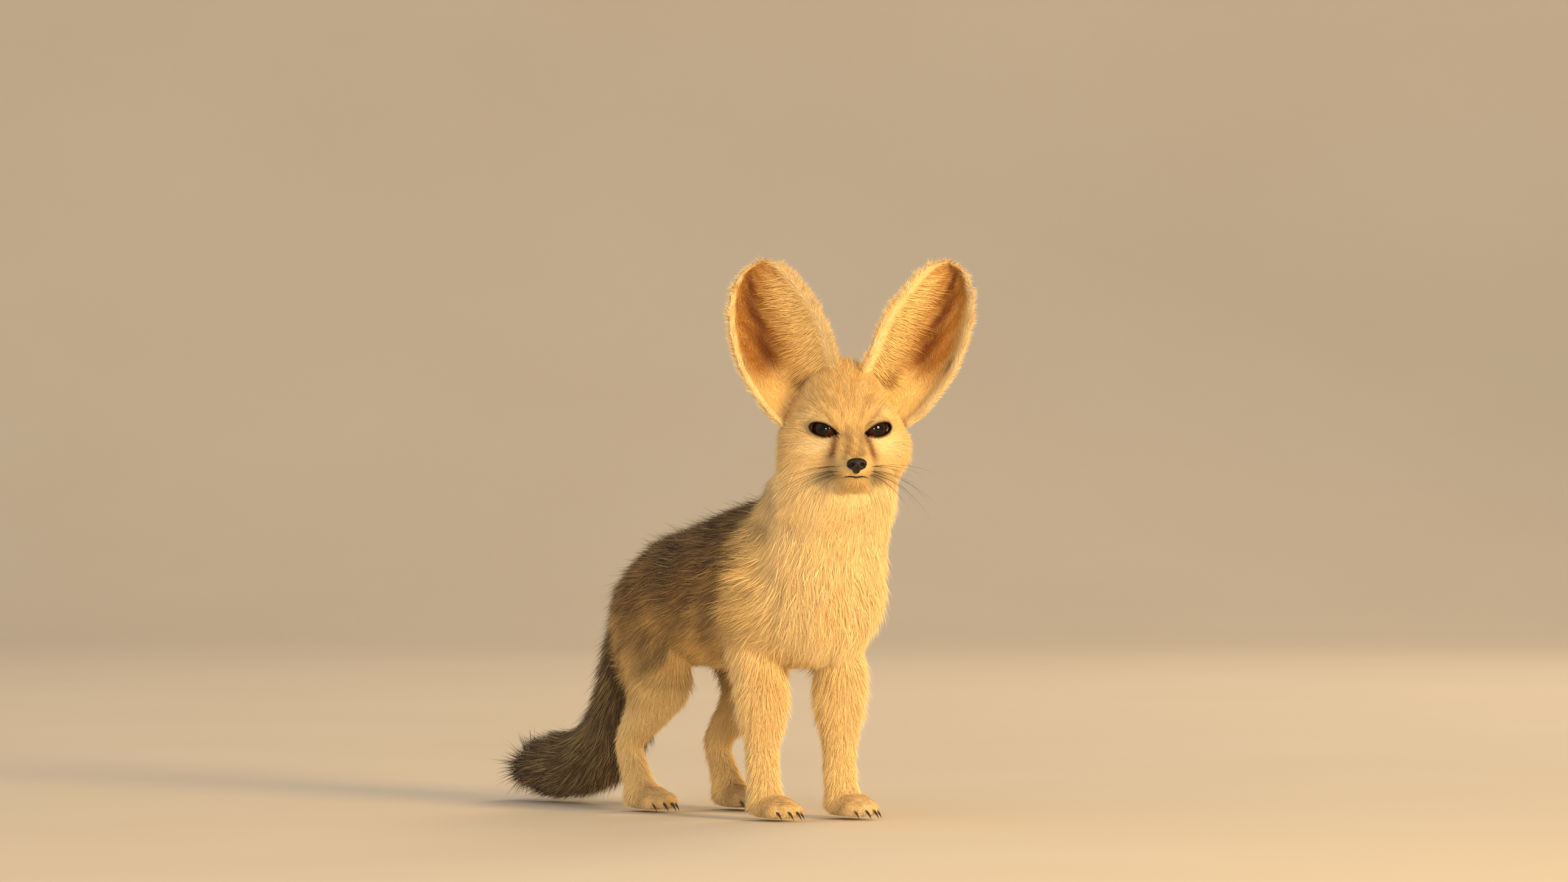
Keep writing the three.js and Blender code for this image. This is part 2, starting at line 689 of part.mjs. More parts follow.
// The neck hangs its locks over the chest and shoulders
const neckAndTrunk = join([solid(core(NECK, COAT.neck)), solid(core(TRUNK, COAT.trunk))]);
const neckGrown = solid(core(NECK, COAT.neck, GAP));
const trunkGrown = solid(core(TRUNK, COAT.trunk, GAP));
const bothGrown = join([neckGrown, trunkGrown]);
const skullInBody = join([SKULL, JAW].map((f) => solid(flesh(f, GAP).applyMatrix4(head.matrix))));
const neckCore = neckAndTrunk.intersect(above(CUTS.neckBase)).intersect(below(CUTS.throat));
const neckRows = rows(NECK, COAT.neck, { from: 0.72, to: 0.1, count: 3, around: 10, seed: 21 });
const neckLie = () => vec(-0.3, 0, -1);
const neckCrossed = [
  skullInBody,
  headCoat.grown,
  neckGrown.intersect(downTo(CUTS.throat)),
  bothGrown.intersect(upTo(CUTS.neckBase)),
];
const neckCoat = dress(neckCore, NECK, neckRows, neckLie, neckCrossed);
add(fox, "neck", neckCoat.made, CREAM);

// The tail in three lengths, each with locks that lie towards its tip
const tailWhole = solid(core(TAIL, COAT.tail));
const tailGrown = solid(core(TAIL, COAT.tail, GAP));
const tailLie = (point, s) => TAIL.spine.getTangent(THREE.MathUtils.clamp(s, 0, 1));
const tailRows = rows(TAIL, COAT.tail, { from: 0.12, to: 0.9, count: 6, around: 5, seed: 31 });
const cutsPassed = ({ at }) =>
  [CUTS.tailRoot, CUTS.tailTip].filter((cut) => past(cut, surface(TAIL, ...at))).length;
const [rootRows, middleRows, tipRows] = [0, 1, 2].map((n) =>
  tailRows.filter((placed) => cutsPassed(placed) === n),
);
const rootCore = tailWhole.intersect(below(CUTS.tailRoot)).subtract(trunkGrown);
const rootCoat = dress(rootCore, TAIL, rootRows, tailLie, [
  trunkGrown,
  tailGrown.intersect(downTo(CUTS.tailRoot)),
]);
const middleCore = tailWhole.intersect(above(CUTS.tailRoot)).intersect(below(CUTS.tailTip));
const middleCoat = dress(middleCore, TAIL, middleRows, tailLie, [
  rootCoat.grown,
  tailGrown.intersect(upTo(CUTS.tailRoot)),
  tailGrown.intersect(downTo(CUTS.tailTip)),
]);
const tipCoat = dress(tailWhole.intersect(above(CUTS.tailTip)), TAIL, tipRows, tailLie, [
  middleCoat.grown,
  tailGrown.intersect(upTo(CUTS.tailTip)),
]);
add(fox, "tail_root", rootCoat.made, SAND);
add(fox, "tail_middle", middleCoat.made, SAND);
add(fox, "tail_tip", tipCoat.made, DARK);

// Legs and the trunk
let trunk = neckAndTrunk.intersect(below(CUTS.neckBase));
const trunkCrossed = [neckCoat.grown, bothGrown.intersect(downTo(CUTS.neckBase)), tailGrown, rootCoat.grown];
const legs = {};
for (const side of Object.keys(SIDES)) {
  const y = SIDES[side];
  const foreWhole = solid(flesh(foreleg(side)));
  const foreFoot = join([foreWhole.intersect(below(CUTS.elbow)), paw(FORE_REACH[side] + 4, y * FORE_TRACK)]);
  const [forePaw, foreArm] = part(foreFoot, vec(0, 0, 24), vec(0.2, 0, -1));
  legs["front_leg_" + side] = foreArm;
  legs["front_paw_" + side] = forePaw;
  trunk = trunk.add(foreWhole.intersect(above(CUTS.elbow)));
  trunkCrossed.push(solid(flesh(foreleg(side), GAP)).intersect(upTo(CUTS.elbow)));

  const { thigh, shin, cannon } = hindleg(side);
  const knee = [vec(HIND_REACH[side] + 20, 0, 74), vec(0.6, 0, 1)];
  const thighCore = join([solid(core(thigh, COAT.thigh)), solid(flesh(shin))]);
  const hindWhole = join([thighCore, solid(flesh(cannon)), paw(HIND_REACH[side] + 4, y * HIND_TRACK)]);
  const hock = [vec(HIND_REACH[side] - 5, 0, 36), vec(-0.3, 0, 1)];
  const [shank, foot] = part(hindWhole.intersect(below(knee)), ...hock);
  const thighRows = rows(thigh, COAT.thigh, {
    from: 0,
    to: 0.8,
    count: 2,
    around: 8,
    keep: (point, out) => out.y * y > 0.2 && past(knee, point),
    seed: 41 + y,
  });
  const thighLie = () => vec(-0.5, 0, -0.85);
  const thighGrown = join([solid(core(thigh, COAT.thigh, GAP)), solid(flesh(shin, GAP))]);
  const thighCoat = dress(thighCore.intersect(above(knee)), thigh, thighRows, thighLie, [
    trunkGrown,
    tailGrown,
    thighGrown.intersect(upTo(knee)),
  ]);
  trunk = trunk.subtract(thighGrown);
  trunkCrossed.push(thighGrown, thighCoat.grown);
  add(fox, "thigh_" + side, thighCoat.made, SAND);
  legs["shin_" + side] = shank;
  legs["hind_foot_" + side] = foot;
}
const chestRows = rows(TRUNK, COAT.trunk, {
  from: 1.76,
  to: 1.42,
  count: 2,
  around: 8,
  keep: (point) => point.z > 118 && point.z < 158,
  seed: 61,
});
const flankRows = rows(TRUNK, COAT.trunk, { from: 1, to: 0.16, count: 5, around: 9, seed: 51 });
const trunkLie = (point, s) => (s > 1 ? vec(0, 0, -1) : vec(-0.95, 0, -0.4));
const trunkCoat = dress(trunk, TRUNK, [...chestRows, ...flankRows], trunkLie, trunkCrossed);
add(fox, "torso", trunkCoat.made, SAND);
for (const [name, made] of Object.entries(legs)) add(fox, name, made, CREAM);

// The frame's origin is the middle of the fox's footprint box, on the floor
const extent = new THREE.Box3().setFromObject(fox, true);
const middle = extent.getCenter(vec());
fox.position.set(-middle.x, -middle.y, -extent.min.z);

export default fox;
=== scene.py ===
"""A fennec fox standing alert on all fours, life size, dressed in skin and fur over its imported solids.

Lengths inside the classes are millimetres in the fox's own frame (+X the way its trunk points, +Y its left,
+Z up from the floor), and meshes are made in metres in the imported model's frame.
"""

from __future__ import annotations

import json
import logging
import math
from dataclasses import dataclass, field
from enum import Enum, IntEnum
from typing import Iterable, Sequence

import bpy
import numpy as np
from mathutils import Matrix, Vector
from mathutils.bvhtree import BVHTree

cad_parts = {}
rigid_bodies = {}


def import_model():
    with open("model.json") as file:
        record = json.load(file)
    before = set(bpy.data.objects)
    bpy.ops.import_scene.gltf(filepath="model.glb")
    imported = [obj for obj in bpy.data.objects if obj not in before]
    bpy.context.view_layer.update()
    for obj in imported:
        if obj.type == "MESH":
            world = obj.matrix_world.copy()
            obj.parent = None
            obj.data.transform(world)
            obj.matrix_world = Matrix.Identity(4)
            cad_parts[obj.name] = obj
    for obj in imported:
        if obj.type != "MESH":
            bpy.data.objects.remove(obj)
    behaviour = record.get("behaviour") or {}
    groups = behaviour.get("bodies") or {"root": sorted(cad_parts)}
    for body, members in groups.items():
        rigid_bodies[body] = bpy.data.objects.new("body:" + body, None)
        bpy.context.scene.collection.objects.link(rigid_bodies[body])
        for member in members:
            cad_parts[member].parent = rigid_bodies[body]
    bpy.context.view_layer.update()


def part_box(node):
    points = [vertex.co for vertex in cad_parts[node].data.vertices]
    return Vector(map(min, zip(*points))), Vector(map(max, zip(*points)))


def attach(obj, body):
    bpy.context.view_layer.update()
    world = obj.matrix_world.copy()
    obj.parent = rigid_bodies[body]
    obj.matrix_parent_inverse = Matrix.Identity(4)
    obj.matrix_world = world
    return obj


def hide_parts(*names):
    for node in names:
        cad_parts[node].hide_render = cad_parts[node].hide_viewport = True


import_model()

LOG = logging.getLogger("fox")
Array = np.ndarray
Place = tuple[float, float, float]
Colour = tuple[float, float, float, float]
Faces = list[tuple[int, ...]]
Thing = bpy.types.Object
Mesh = bpy.types.Mesh
Material = bpy.types.Material
Socket = bpy.types.NodeSocket
BODY = "root"
METRE = 1000  # in millimetres
FAR = 10 * METRE
BODY_SEED, EAR_SEED, LID_SEED = 100, 200, 300
EYE_AT = (124.137, 1.912, 234.0)  # the left eye's middle in the fox's own frame
OFFSET = np.mean(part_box("eye_left"), axis=0) * METRE - EYE_AT


def shade(code: str) -> Colour:
    """The linear colour of a web colour code.

    Args:
        code: six hexadecimal digits.

    Returns:
        Red, green and blue in linear light, with alpha 1.
    """
    values = [int(code[i : i + 2], 16) / 255 for i in (0, 2, 4)]
    linear = [v / 12.92 if v <= 0.04045 else ((v + 0.055) / 1.055) ** 2.4 for v in values]
    return (linear[0], linear[1], linear[2], 1.0)


def ramp(value: Array, start: float, end: float) -> Array:
    """A smooth step of value from 0 at start to 1 at end."""
    t = np.clip((value - start) / (end - start), 0, 1)
    return t * t * (3 - 2 * t)


def bell(*away: Array) -> Array:
    """A share that falls from 1 in all directions, from how many widths away places are in each."""
    return np.exp(-sum(a**2 for a in away))


def unit(vectors: Array) -> Array:
    """The vectors with length 1."""
    return vectors / np.maximum(np.linalg.norm(vectors, axis=-1, keepdims=True), 1e-9)


def mixed(colours: Array, other: Colour | Array, share: Array) -> Array:
    """Rows of colour moved towards another colour by a share each."""
    return colours + (other - colours) * share[:, None]


def layered(tone: Colour, *layers: tuple[Colour, Array]) -> Array:
    """Rows of one colour with layers of other colours over it, each by a share for each row."""
    colours = np.tile(tone, (len(layers[0][1]), 1))
    for other, share in layers:
        colours = mixed(colours, other, share)
    return colours


def smooth_curve(points: Sequence[Sequence[float]] | Array, t: Array) -> Array:
    """Places on a smooth curve through rows of points.

    Args:
        points: the rows that the curve passes through.
        t: where on the curve, from 0 to 1.

    Returns:
        One row for each t.
    """
    points = np.array(points, float)
    ends = np.vstack([2 * points[0] - points[1], points, 2 * points[-1] - points[-2]])
    place = np.clip(t, 0, 1) * (len(points) - 1)
    i = np.minimum(place.astype(int), len(points) - 2)
    w = (place - i)[:, None]
    p0, p1, p2, p3 = (ends[i + k] for k in range(4))
    v0, v1 = (p2 - p0) / 2, (p3 - p1) / 2
    return (2 * p1 - 2 * p2 + v0 + v1) * w**3 + (3 * p2 - 3 * p1 - 2 * v0 - v1) * w**2 + v0 * w + p1


def drift(points: Array, size: float, seed: int) -> Array:
    """Smooth random directions over places.

    Args:
        points: the places.
        size: about how far apart the directions differ.
        seed: the row of random numbers.

    Returns:
        One vector of about unit length for each place.
    """
    random = np.random.default_rng(seed)
    total = np.zeros((len(points), 3))
    for _ in range(6):
        way = random.normal(0, 1, 3) / size
        phase = random.uniform(0, 2 * math.pi, 3)
        total += np.sin((points @ way)[:, None] + phase) * random.normal(0, 0.6, 3)
    return total


@dataclass(frozen=True)
class HeadPlace:
    """Where the head sits in the fox's own frame, and how it is turned.

    Attributes:
        at: the middle between the eyes' axes at eye level.
        turn: the head's turn to its left, in degrees.
        lean: how far the ears lean to the fox's left for each millimetre upwards.
    """

    at: Place = (104.0, -4.0, 234.0)
    turn: float = -29.0
    lean: float = 0.08

    def matrix(self) -> Array:
        """The rotation from the head's frame to the fox's."""
        c, s = math.cos(math.radians(self.turn)), math.sin(math.radians(self.turn))
        return np.array([[c, -s, 0], [s, c, 0], [0, 0, 1]])

    def to_body(self, points: Array) -> Array:
        """Points of the head's frame in the fox's frame."""
        return points @ self.matrix().T + self.at

    def to_head(self, points: Array) -> Array:
        """Points of the fox's frame in the head's frame."""
        return (points - self.at) @ self.matrix()

    def leaned(self, points: Array) -> Array:
        """Points of an ear, in the head's frame, with the ears' lean."""
        return points + np.outer(points[:, 2], [0, self.lean, 0])


HEAD = HeadPlace()


def slice_at(x: float, top: float, waist: float, bottom: float, half: float) -> tuple[float, ...]:
    """One upright slice of a form as its centre and its reach to the side, up and down."""
    return (x, 0, waist, half, top - waist, waist - bottom)


@dataclass
class Form:
    """A rounded closed form of flesh along a spine of slices.

    Attributes:
        slices: for each slice its centre and its reach to the side, over and under the spine.
        caps: how far the rounded ends reach.
        sink: how far the skin lies inside the form.
        up: the way that over means.
        square: the sections' power, 2 for an ellipse.
        upright: whether the slices stand square to X.
        bumps: places, reaches and heights of swellings, each on both sides.
        in_head: whether the form is given in the head's frame.
    """

    slices: Sequence[tuple[float, ...]]
    caps: tuple[float, float]
    sink: float = 1.0
    up: Place = (0, 0, 1)
    square: float = 2.0
    upright: bool = False
    bumps: Sequence[tuple[Place, float, float]] = ()
    in_head: bool = False

    def spine(self, t: Array) -> Array:
        """Places on the centre line."""
        return smooth_curve(np.array(self.slices, float)[:, :3], t)

    def girth(self, t: Array) -> Array:
        """Reaches to the side, over and under at places on the spine."""
        return smooth_curve(np.array(self.slices, float)[:, 3:], t)

    def ahead(self, t: Array) -> Array:
        """The spine's direction."""
        if self.upright:
            return np.tile([1.0, 0, 0], (len(t), 1))
        low, high = np.clip(t - 1e-3, 0, 1), np.clip(t + 1e-3, 0, 1)
        return unit(self.spine(high) - self.spine(low))

    def surface(self, s: Array, angle: Array, grow: float = 0.0) -> Array:
        """Points of the form's surface.

        Args:
            s: places along the spine, past 0 and 1 on the rounded ends.
            angle: angles round the spine.
            grow: how far outside the form the points lie.

        Returns:
            One point for each s and angle.
        """
        t = np.clip(s, 0, 1)
        past = s - t
        ahead, centre, girth = self.ahead(t), self.spine(t), self.girth(t)
        side = unit(np.cross(self.up, ahead))
        over = np.cross(ahead, side)
        shrink = np.sqrt(np.maximum(0, 1 - past**2))
        power = lambda v: np.sign(v) * np.abs(v) ** (2 / self.square)
        across = power(np.cos(angle)) * (girth[:, 0] + grow) * shrink
        reach = np.where(np.sin(angle) > 0, girth[:, 1], girth[:, 2]) + grow
        rise = power(np.sin(angle)) * reach * shrink
        cap = np.where(past < 0, self.caps[0], self.caps[1]) + grow
        point = centre + ahead * (past * cap)[:, None] + side * across[:, None] + over * rise[:, None]
        for (x, y, z), reach_of, height in self.bumps:
            for place in ((x, y, z), (x, -y, z)):
                near = np.exp(-((point - place) ** 2).sum(1) / reach_of**2)
                point = point + unit(point - centre) * (height * near)[:, None]
        return point

    def shell(self, rows: int = 40, sides: int = 48) -> tuple[Array, Faces]:
        """The skin's surface over this form as closed quads.

        Args:
            rows: rings along the main length.
            sides: points in each ring.

        Returns:
            The points in the fox's frame, and the faces.
        """
        turn = np.linspace(0.15, math.pi / 2, 7)[:-1]
        along = np.concatenate([-np.cos(turn), np.linspace(0, 1, rows), 1 + np.cos(turn[::-1])])
        angle = np.linspace(0, 2 * math.pi, sides, endpoint=False)
        points = self.surface(np.repeat(along, sides), np.tile(angle, len(along)), -self.sink)
        ends = self.surface(np.array([-1.0, 2.0]), np.zeros(2), -self.sink)
        points = np.vstack([points, ends])
        if self.in_head:
            points = HEAD.to_body(points)
        last, tail = (len(along) - 1) * sides, len(points) - 2
        faces: Faces = []
        for j in range(sides):
            k = (j + 1) % sides
            faces += [(tail, k, j), (tail + 1, last + j, last + k)]
            faces += [(row + j, row + k, row + sides + k, row + sides + j) for row in range(0, last, sides)]
        return points, faces

    def near(self, points: Array) -> tuple[Array, Array]:
        """How near points are to the form.

        Args:
            points: places in the fox's frame.

        Returns:
            The distance from the spine as a share of the girth there, and the place along the spine.
        """
        places = HEAD.to_head(points) if self.in_head else points
        t = np.linspace(0, 1, 40)
        centre, girth = self.spine(t), self.girth(t).mean(1)
        reach = np.linalg.norm(places[:, None] - centre[None], axis=2) / girth[None]
        best = reach.argmin(1)
        return reach[np.arange(len(points)), best], t[best]


class Part(IntEnum):
    """The forms that the coat tells apart."""

    HEAD = 0
    NECK = 1
    TRUNK = 2
    TAIL = 3
    FORELEG = 4
    THIGH = 5
    SHIN = 6
    PAW = 7


@dataclass
class Flesh:
    """The fox's flesh forms, from the same sizes as its solids.

    Attributes:
        fore_reach: how far forward the right and left front legs stand.
        hind_reach: how far forward the right and left hind legs stand.
        fore_track: from the midline to a front paw.
        hind_track: from the midline to a hind paw.
        toes: how far across and ahead of the paw's middle each toe stands.
    """

    fore_reach: tuple[float, float] = (47.0, 60.0)
    hind_reach: tuple[float, float] = (-76.0, -58.0)
    fore_track: float = 24.0
    hind_track: float = 27.0
    toes: tuple[tuple[float, float], ...] = ((-8.4, 17.5), (-2.9, 22), (2.9, 22), (8.4, 17.5))

    def head(self) -> list[Form]:
        """The skull and the lower jaw."""
        skull = Form(
            [
                slice_at(-30, 32, -4, -32, 31), slice_at(-18, 39, -7, -34, 37),
                slice_at(-6, 39, -9, -33, 38), slice_at(5, 31, -10, -32, 34),
                slice_at(14, 20, -11.5, -31.5, 26.5), slice_at(22, 3.5, -17, -31, 17),
                slice_at(30, -11, -20.8, -30.4, 12), slice_at(38, -16.4, -23, -29.5, 9.2),
            ],
            (16, 5), 1.3, square=2.1, upright=True, in_head=True,
            bumps=[
                ((12, 24, -16), 12, 2.2), ((10, 15, 13), 8, 2.0), ((22, 8, -4), 5, -1.4),
                ((33, 9, -25), 6, 1.8), ((24, 0, 3), 7, -0.8), ((14, 21, -27), 9, 2.4),
                ((-6, 33, 22), 17, -6.5), ((6, 25, 22), 12, -1.5),
            ],
        )
        jaw = Form(
            [(0, 0, -29, 20, 6, 8), (16, 0, -29.5, 13.5, 4, 6), (32, 0, -30, 7.5, 2.5, 3.6)],
            (10, 4.5), 0.8, upright=True, in_head=True,
        )
        return [skull, jaw]

    def neck(self) -> Form:
        """The neck, from inside the chest to inside the head."""
        return Form(
            [
                (50, 0, 150, 40, 43, 42), (74, -1, 176, 38, 36, 38),
                (90, -2, 202, 38, 32, 36), (98, -3, 224, 33, 28, 31),
            ],
            (10, 10), 3.5, up=(-1, 0, 0.6),
        )

    def breast(self) -> Form:
        """The front of the chest, which runs up into the throat."""
        return Form(
            [(85, -2, 196, 33, 20, 32), (81, -1, 164, 37, 20, 31), (77, 0, 130, 38, 20, 30)],
            (14, 20), 4.0, up=(-1, 0, 0),
        )

    def trunk(self) -> Form:
        """The chest, belly and rump."""
        return Form(
            [
                slice_at(-96, 150, 122, 92, 30), slice_at(-66, 167, 128, 91, 42),
                slice_at(-34, 175, 131, 91, 45), slice_at(0, 185, 135, 90, 45),
                slice_at(30, 193, 139, 90, 46), slice_at(58, 190, 140, 90, 45),
                slice_at(82, 172, 134, 94, 37),
            ],
            (20, 22), 5.5, square=2.15, upright=True, bumps=[((46, 44, 132), 24, 4)],
        )

    def tail(self) -> Form:
        """The tail, which hangs behind the rump and turns back near the floor; hair alone makes its tip."""
        return Form(
            [
                (-88, -2, 144, 11, 11, 11), (-104, -3, 132, 13, 13, 13), (-112, -5, 109, 16, 16, 15),
                (-116, -6, 82, 18, 18, 17), (-123, -7, 55, 20, 20, 19), (-141, -8, 34, 21, 21, 20),
                (-166, -9, 26, 21, 20, 20.5), (-193, -10, 23, 18, 17.5, 18), (-210, -10, 21, 12, 12, 12),
            ],
            (6, 12), 6.5, up=(-1, 0, 0.8),
        )

    def foreleg(self, side: int) -> Form:
        """A front leg from the shoulder to the wrist, on the left for side 1 and the right for -1."""
        x, y = self.fore_reach[side > 0], side * self.fore_track
        return Form(
            [
                (x - 6, y, 132, 15, 20, 20), (x - 4, y, 108, 14.5, 16, 22), (x, y, 88, 13.5, 14, 15.5),
                (x + 1, y, 64, 12, 11.5, 12.5), (x + 1, y, 42, 9.6, 9.4, 10),
                (x + 1, y, 28, 9.8, 9.8, 9.6), (x + 4, y, 13, 9.2, 9.2, 9),
            ],
            (10, 4), 1.6, up=(1, 0, 0),
        )

    def hindleg(self, side: int) -> tuple[Form, Form, Form]:
        """A hind leg's thigh, its shin to the hock, and the foot's upright length."""
        x = self.hind_reach[side > 0]
        y = side * self.hind_track
        thigh = Form(
            [
                (x + 8, side * 22, 136, 18, 27, 24), (x + 18, side * 27, 112, 20, 30, 31),
                (x + 31, side * 29, 86, 16, 20, 29),
            ],
            (12, 12), 3.2, up=(1, 0, 0),
        )
        shin = Form(
            [
                (x + 34, side * 29, 82, 14, 16, 21), (x + 17, side * 28, 64, 11.5, 13, 18),
                (x - 2, y, 50, 9.4, 9.5, 11), (x - 9, y, 42, 8.6, 8.5, 9.5),
            ],
            (8, 6), 1.6, up=(1, 0, 0),
        )
        cannon = Form(
            [(x - 10, y, 42, 8.6, 8.6, 9), (x - 4, y, 27, 8.6, 8.6, 8.6), (x + 4, y, 13, 9.6, 9, 9)],
            (7, 4), 1.6, up=(1, 0, 0),
        )
        return thigh, shin, cannon

    def paws(self) -> list[tuple[float, float]]:
        """The places of the four paws on the floor."""
        fore = [(self.fore_reach[side > 0] + 4, side * self.fore_track) for side in (-1, 1)]
        return fore + [(self.hind_reach[side > 0] + 4, side * self.hind_track) for side in (-1, 1)]

    def paw(self, x: float, y: float) -> list[Form]:
        """A paw's pad and its four toes."""
        pad = Form(
            [(x - 4, y, 8, 9.8, 9, 7), (x + 6, y, 8.4, 11.6, 8.6, 7.5), (x + 15, y, 7.4, 11.4, 7, 6.5)],
            (7, 6), 0.9, up=(0, 0, 1),
        )
        toes = []
        for across, ahead in self.toes:
            root = (x + ahead - 7, y + across * 0.93, 7.4, 3.6, 4.4, 5.6)
            toes.append(Form([root, (x + ahead, y + across, 6.9, 4.2, 5, 5.6)], (3, 6.2), 0.8))
        return [pad, *toes]

    def parts(self) -> list[tuple[Part, Form]]:
        """Every form with the part of the coat that it belongs to."""
        found = [(Part.HEAD, form) for form in self.head()]
        found += [(Part.NECK, self.neck()), (Part.NECK, self.breast())]
        found += [(Part.TRUNK, self.trunk()), (Part.TAIL, self.tail())]
        for side in (-1, 1):
            thigh, shin, cannon = self.hindleg(side)
            found += [(Part.FORELEG, self.foreleg(side)), (Part.THIGH, thigh)]
            found += [(Part.SHIN, shin), (Part.SHIN, cannon)]
        for x, y in self.paws():
            found += [(Part.PAW, form) for form in self.paw(x, y)]
        return found


def packed(points: Array) -> Array:
    """Points of the fox's frame, in millimetres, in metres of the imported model's frame."""
    return (np.asarray(points, float) + OFFSET) / METRE


def unpacked(points: Array) -> Array:
    """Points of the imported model's frame, in metres, in the fox's frame."""
    return points * METRE - OFFSET


def joined(surfaces: Iterable[tuple[Array, Faces]]) -> tuple[Array, Faces]:
    """Several surfaces as one set of points and faces."""
    points, faces, start = [], [], 0
    for shell, found in surfaces:
        points.append(shell)
        faces += [tuple(i + start for i in face) for face in found]
        start += len(shell)
    return np.vstack(points), faces


def put(name: str, data: object) -> Thing:
    """A new object in the scene."""
    made = bpy.data.objects.new(name, data)
    bpy.context.scene.collection.objects.link(made)
    return made


def mesh_object(
    name: str, points: Array, faces: Faces, finish: Material | None = None,
    edges: Sequence[tuple[int, int]] = (),
) -> Thing:
    """A new object from points in the fox's frame.

    Args:
        name: the object's name.
        points: its points.
        faces: its faces.
        finish: its material.
        edges: its edges that have no faces.

    Returns:
        The object, in the scene, with smooth faces.
    """
    mesh = bpy.data.meshes.new(name)
    mesh.from_pydata(packed(points).tolist(), edges, faces)
    mesh.polygons.foreach_set("use_smooth", np.ones(len(mesh.polygons), bool))
    if finish:
        mesh.materials.append(finish)
    return put(name, mesh)


def settled(made: Thing) -> Thing:
    """The object with its modifiers' result as its plain mesh."""
    ready = made.evaluated_get(bpy.context.evaluated_depsgraph_get())
    mesh = bpy.data.meshes.new_from_object(ready)
    old = made.data
    made.modifiers.clear()
    made.data = mesh
    mesh.name = made.name
    if old.users == 0:
        bpy.data.meshes.remove(old)
    return made


def wrapped(made: Thing, voxel: float) -> Thing:
    """The object as one smooth skin over all its closed forms, of a fineness in millimetres."""
    remesh = made.modifiers.new("skin", "REMESH")
    remesh.mode, remesh.voxel_size, remesh.use_smooth_shade = "VOXEL", voxel / METRE, True
    return settled(made)


def read(items: object, key: str, width: int = 1, kind: type = float) -> Array:
    """One value of each item of a mesh, in rows where it is more than one number wide."""
    values = np.zeros(len(items) * width, kind)
    items.foreach_get(key, values)
    return values.reshape(-1, width) if width > 1 else values


def places(mesh: Mesh) -> Array:
    """A mesh's points in the fox's frame."""
    return unpacked(read(mesh.vertices, "co", 3))


def outwards(mesh: Mesh) -> Array:
    """The outward directions at a mesh's points."""
    return read(mesh.vertex_normals, "vector", 3)


def move_to(mesh: Mesh, points: Array) -> None:
    """Puts a mesh's points at places of the fox's frame."""
    mesh.vertices.foreach_set("co", packed(points).astype(np.float32).ravel())
    mesh.update()


WIDTHS = {1: ("FLOAT", "value"), 3: ("FLOAT_VECTOR", "vector"), 4: ("FLOAT_COLOR", "color")}


def store(mesh: Mesh, name: str, values: Array) -> None:
    """Stores one value for each point of a mesh: a number, a direction or a colour, by the rows' width."""
    kind, key = WIDTHS[1 if values.ndim == 1 else values.shape[1]]
    layer = mesh.attributes.get(name) or mesh.attributes.new(name, kind, "POINT")
    layer.data.foreach_set(key, np.ascontiguousarray(values, np.float32).ravel())


def stored(mesh: Mesh, name: str) -> Array:
    """The number that a mesh stores under a name for each point."""
    return read(mesh.attributes[name].data, "value")


def relaxed(mesh: Mesh, points: Array, share: Array, rounds: int) -> Array:
    """Points moved towards the middle of their neighbours.

    Args:
        mesh: the mesh whose edges join the points.
        points: the places.
        share: how far each point goes in a round.
        rounds: how often.

    Returns:
        The new places.
    """
    ends = read(mesh.edges, "vertices", 2, np.int32)
    a, b = ends.T
    count = np.bincount(ends.ravel(), minlength=len(points)).astype(float)[:, None]
    for _ in range(rounds):
        total = np.stack(
            [
                np.bincount(a, points[b, k], len(points)) + np.bincount(b, points[a, k], len(points))
                for k in range(3)
            ],
            axis=1,
        )
        points = points + (total / np.maximum(count, 1) - points) * share[:, None]
    return points


@dataclass(frozen=True)
class EyeSizes:
    """Sizes of an eye and its lids, in the head's frame, for the left side.

    Attributes:
        at: the eyeball's middle.
        radius: the eyeball's.
        look: the way it faces.
        across: the way to its outer corner.
        lid: the lids' edge, across and up from the middle, from the inner corner over the upper lid.
        around: points round the lids' edge.
    """

    at: Place = (13.2, 14.4, 0.0)
    radius: float = 8.2
    look: Place = (0.96, 0.28, 0.0)
    across: Place = (-0.28, 0.96, 0.0)
    lid: tuple[tuple[float, float], ...] = (
        (-9.0, -3.4), (-6.6, -0.5), (-3.6, 1.7), (-0.2, 3.2), (3.6, 4.0), (6.6, 3.6), (8.3, 2.0), (8.0, 0.0),
        (5.6, -2.3), (1.6, -3.8), (-3.0, -4.4), (-6.7, -4.4), (-9.0, -3.4),
    )
    around: int = 96

    def edge(self) -> Array:
        """The lids' edge, across and up from the middle, all the way round."""
        return smooth_curve(self.lid, np.linspace(0, 1, self.around, endpoint=False))

    def local(self, points: Array, side: int) -> Array:
        """Points of the head's frame as across, up and ahead of this eye."""
        away = points * [1, side, 1] - self.at
        return np.stack([away @ self.across, away[:, 2], away @ self.look], axis=1)

    def out_of_local(self, places: Array, side: int) -> Array:
        """Points given across, up and ahead of this eye, in the head's frame."""
        return (places @ np.array([self.across, (0, 0, 1), self.look]) + self.at) * [1, side, 1]

    def beyond(self, local: Array) -> Array:
        """How far points lie outside the lids' edge, less than 0 within it."""
        edge = self.edge()
        angle = np.arctan2(edge[:, 1], edge[:, 0])
        order = angle.argsort()
        reach = np.linalg.norm(edge, axis=1)[order]
        at = np.interp(np.arctan2(local[:, 1], local[:, 0]), angle[order], reach, period=2 * math.pi)
        return np.linalg.norm(local[:, :2], axis=1) - at


EYES = EyeSizes()


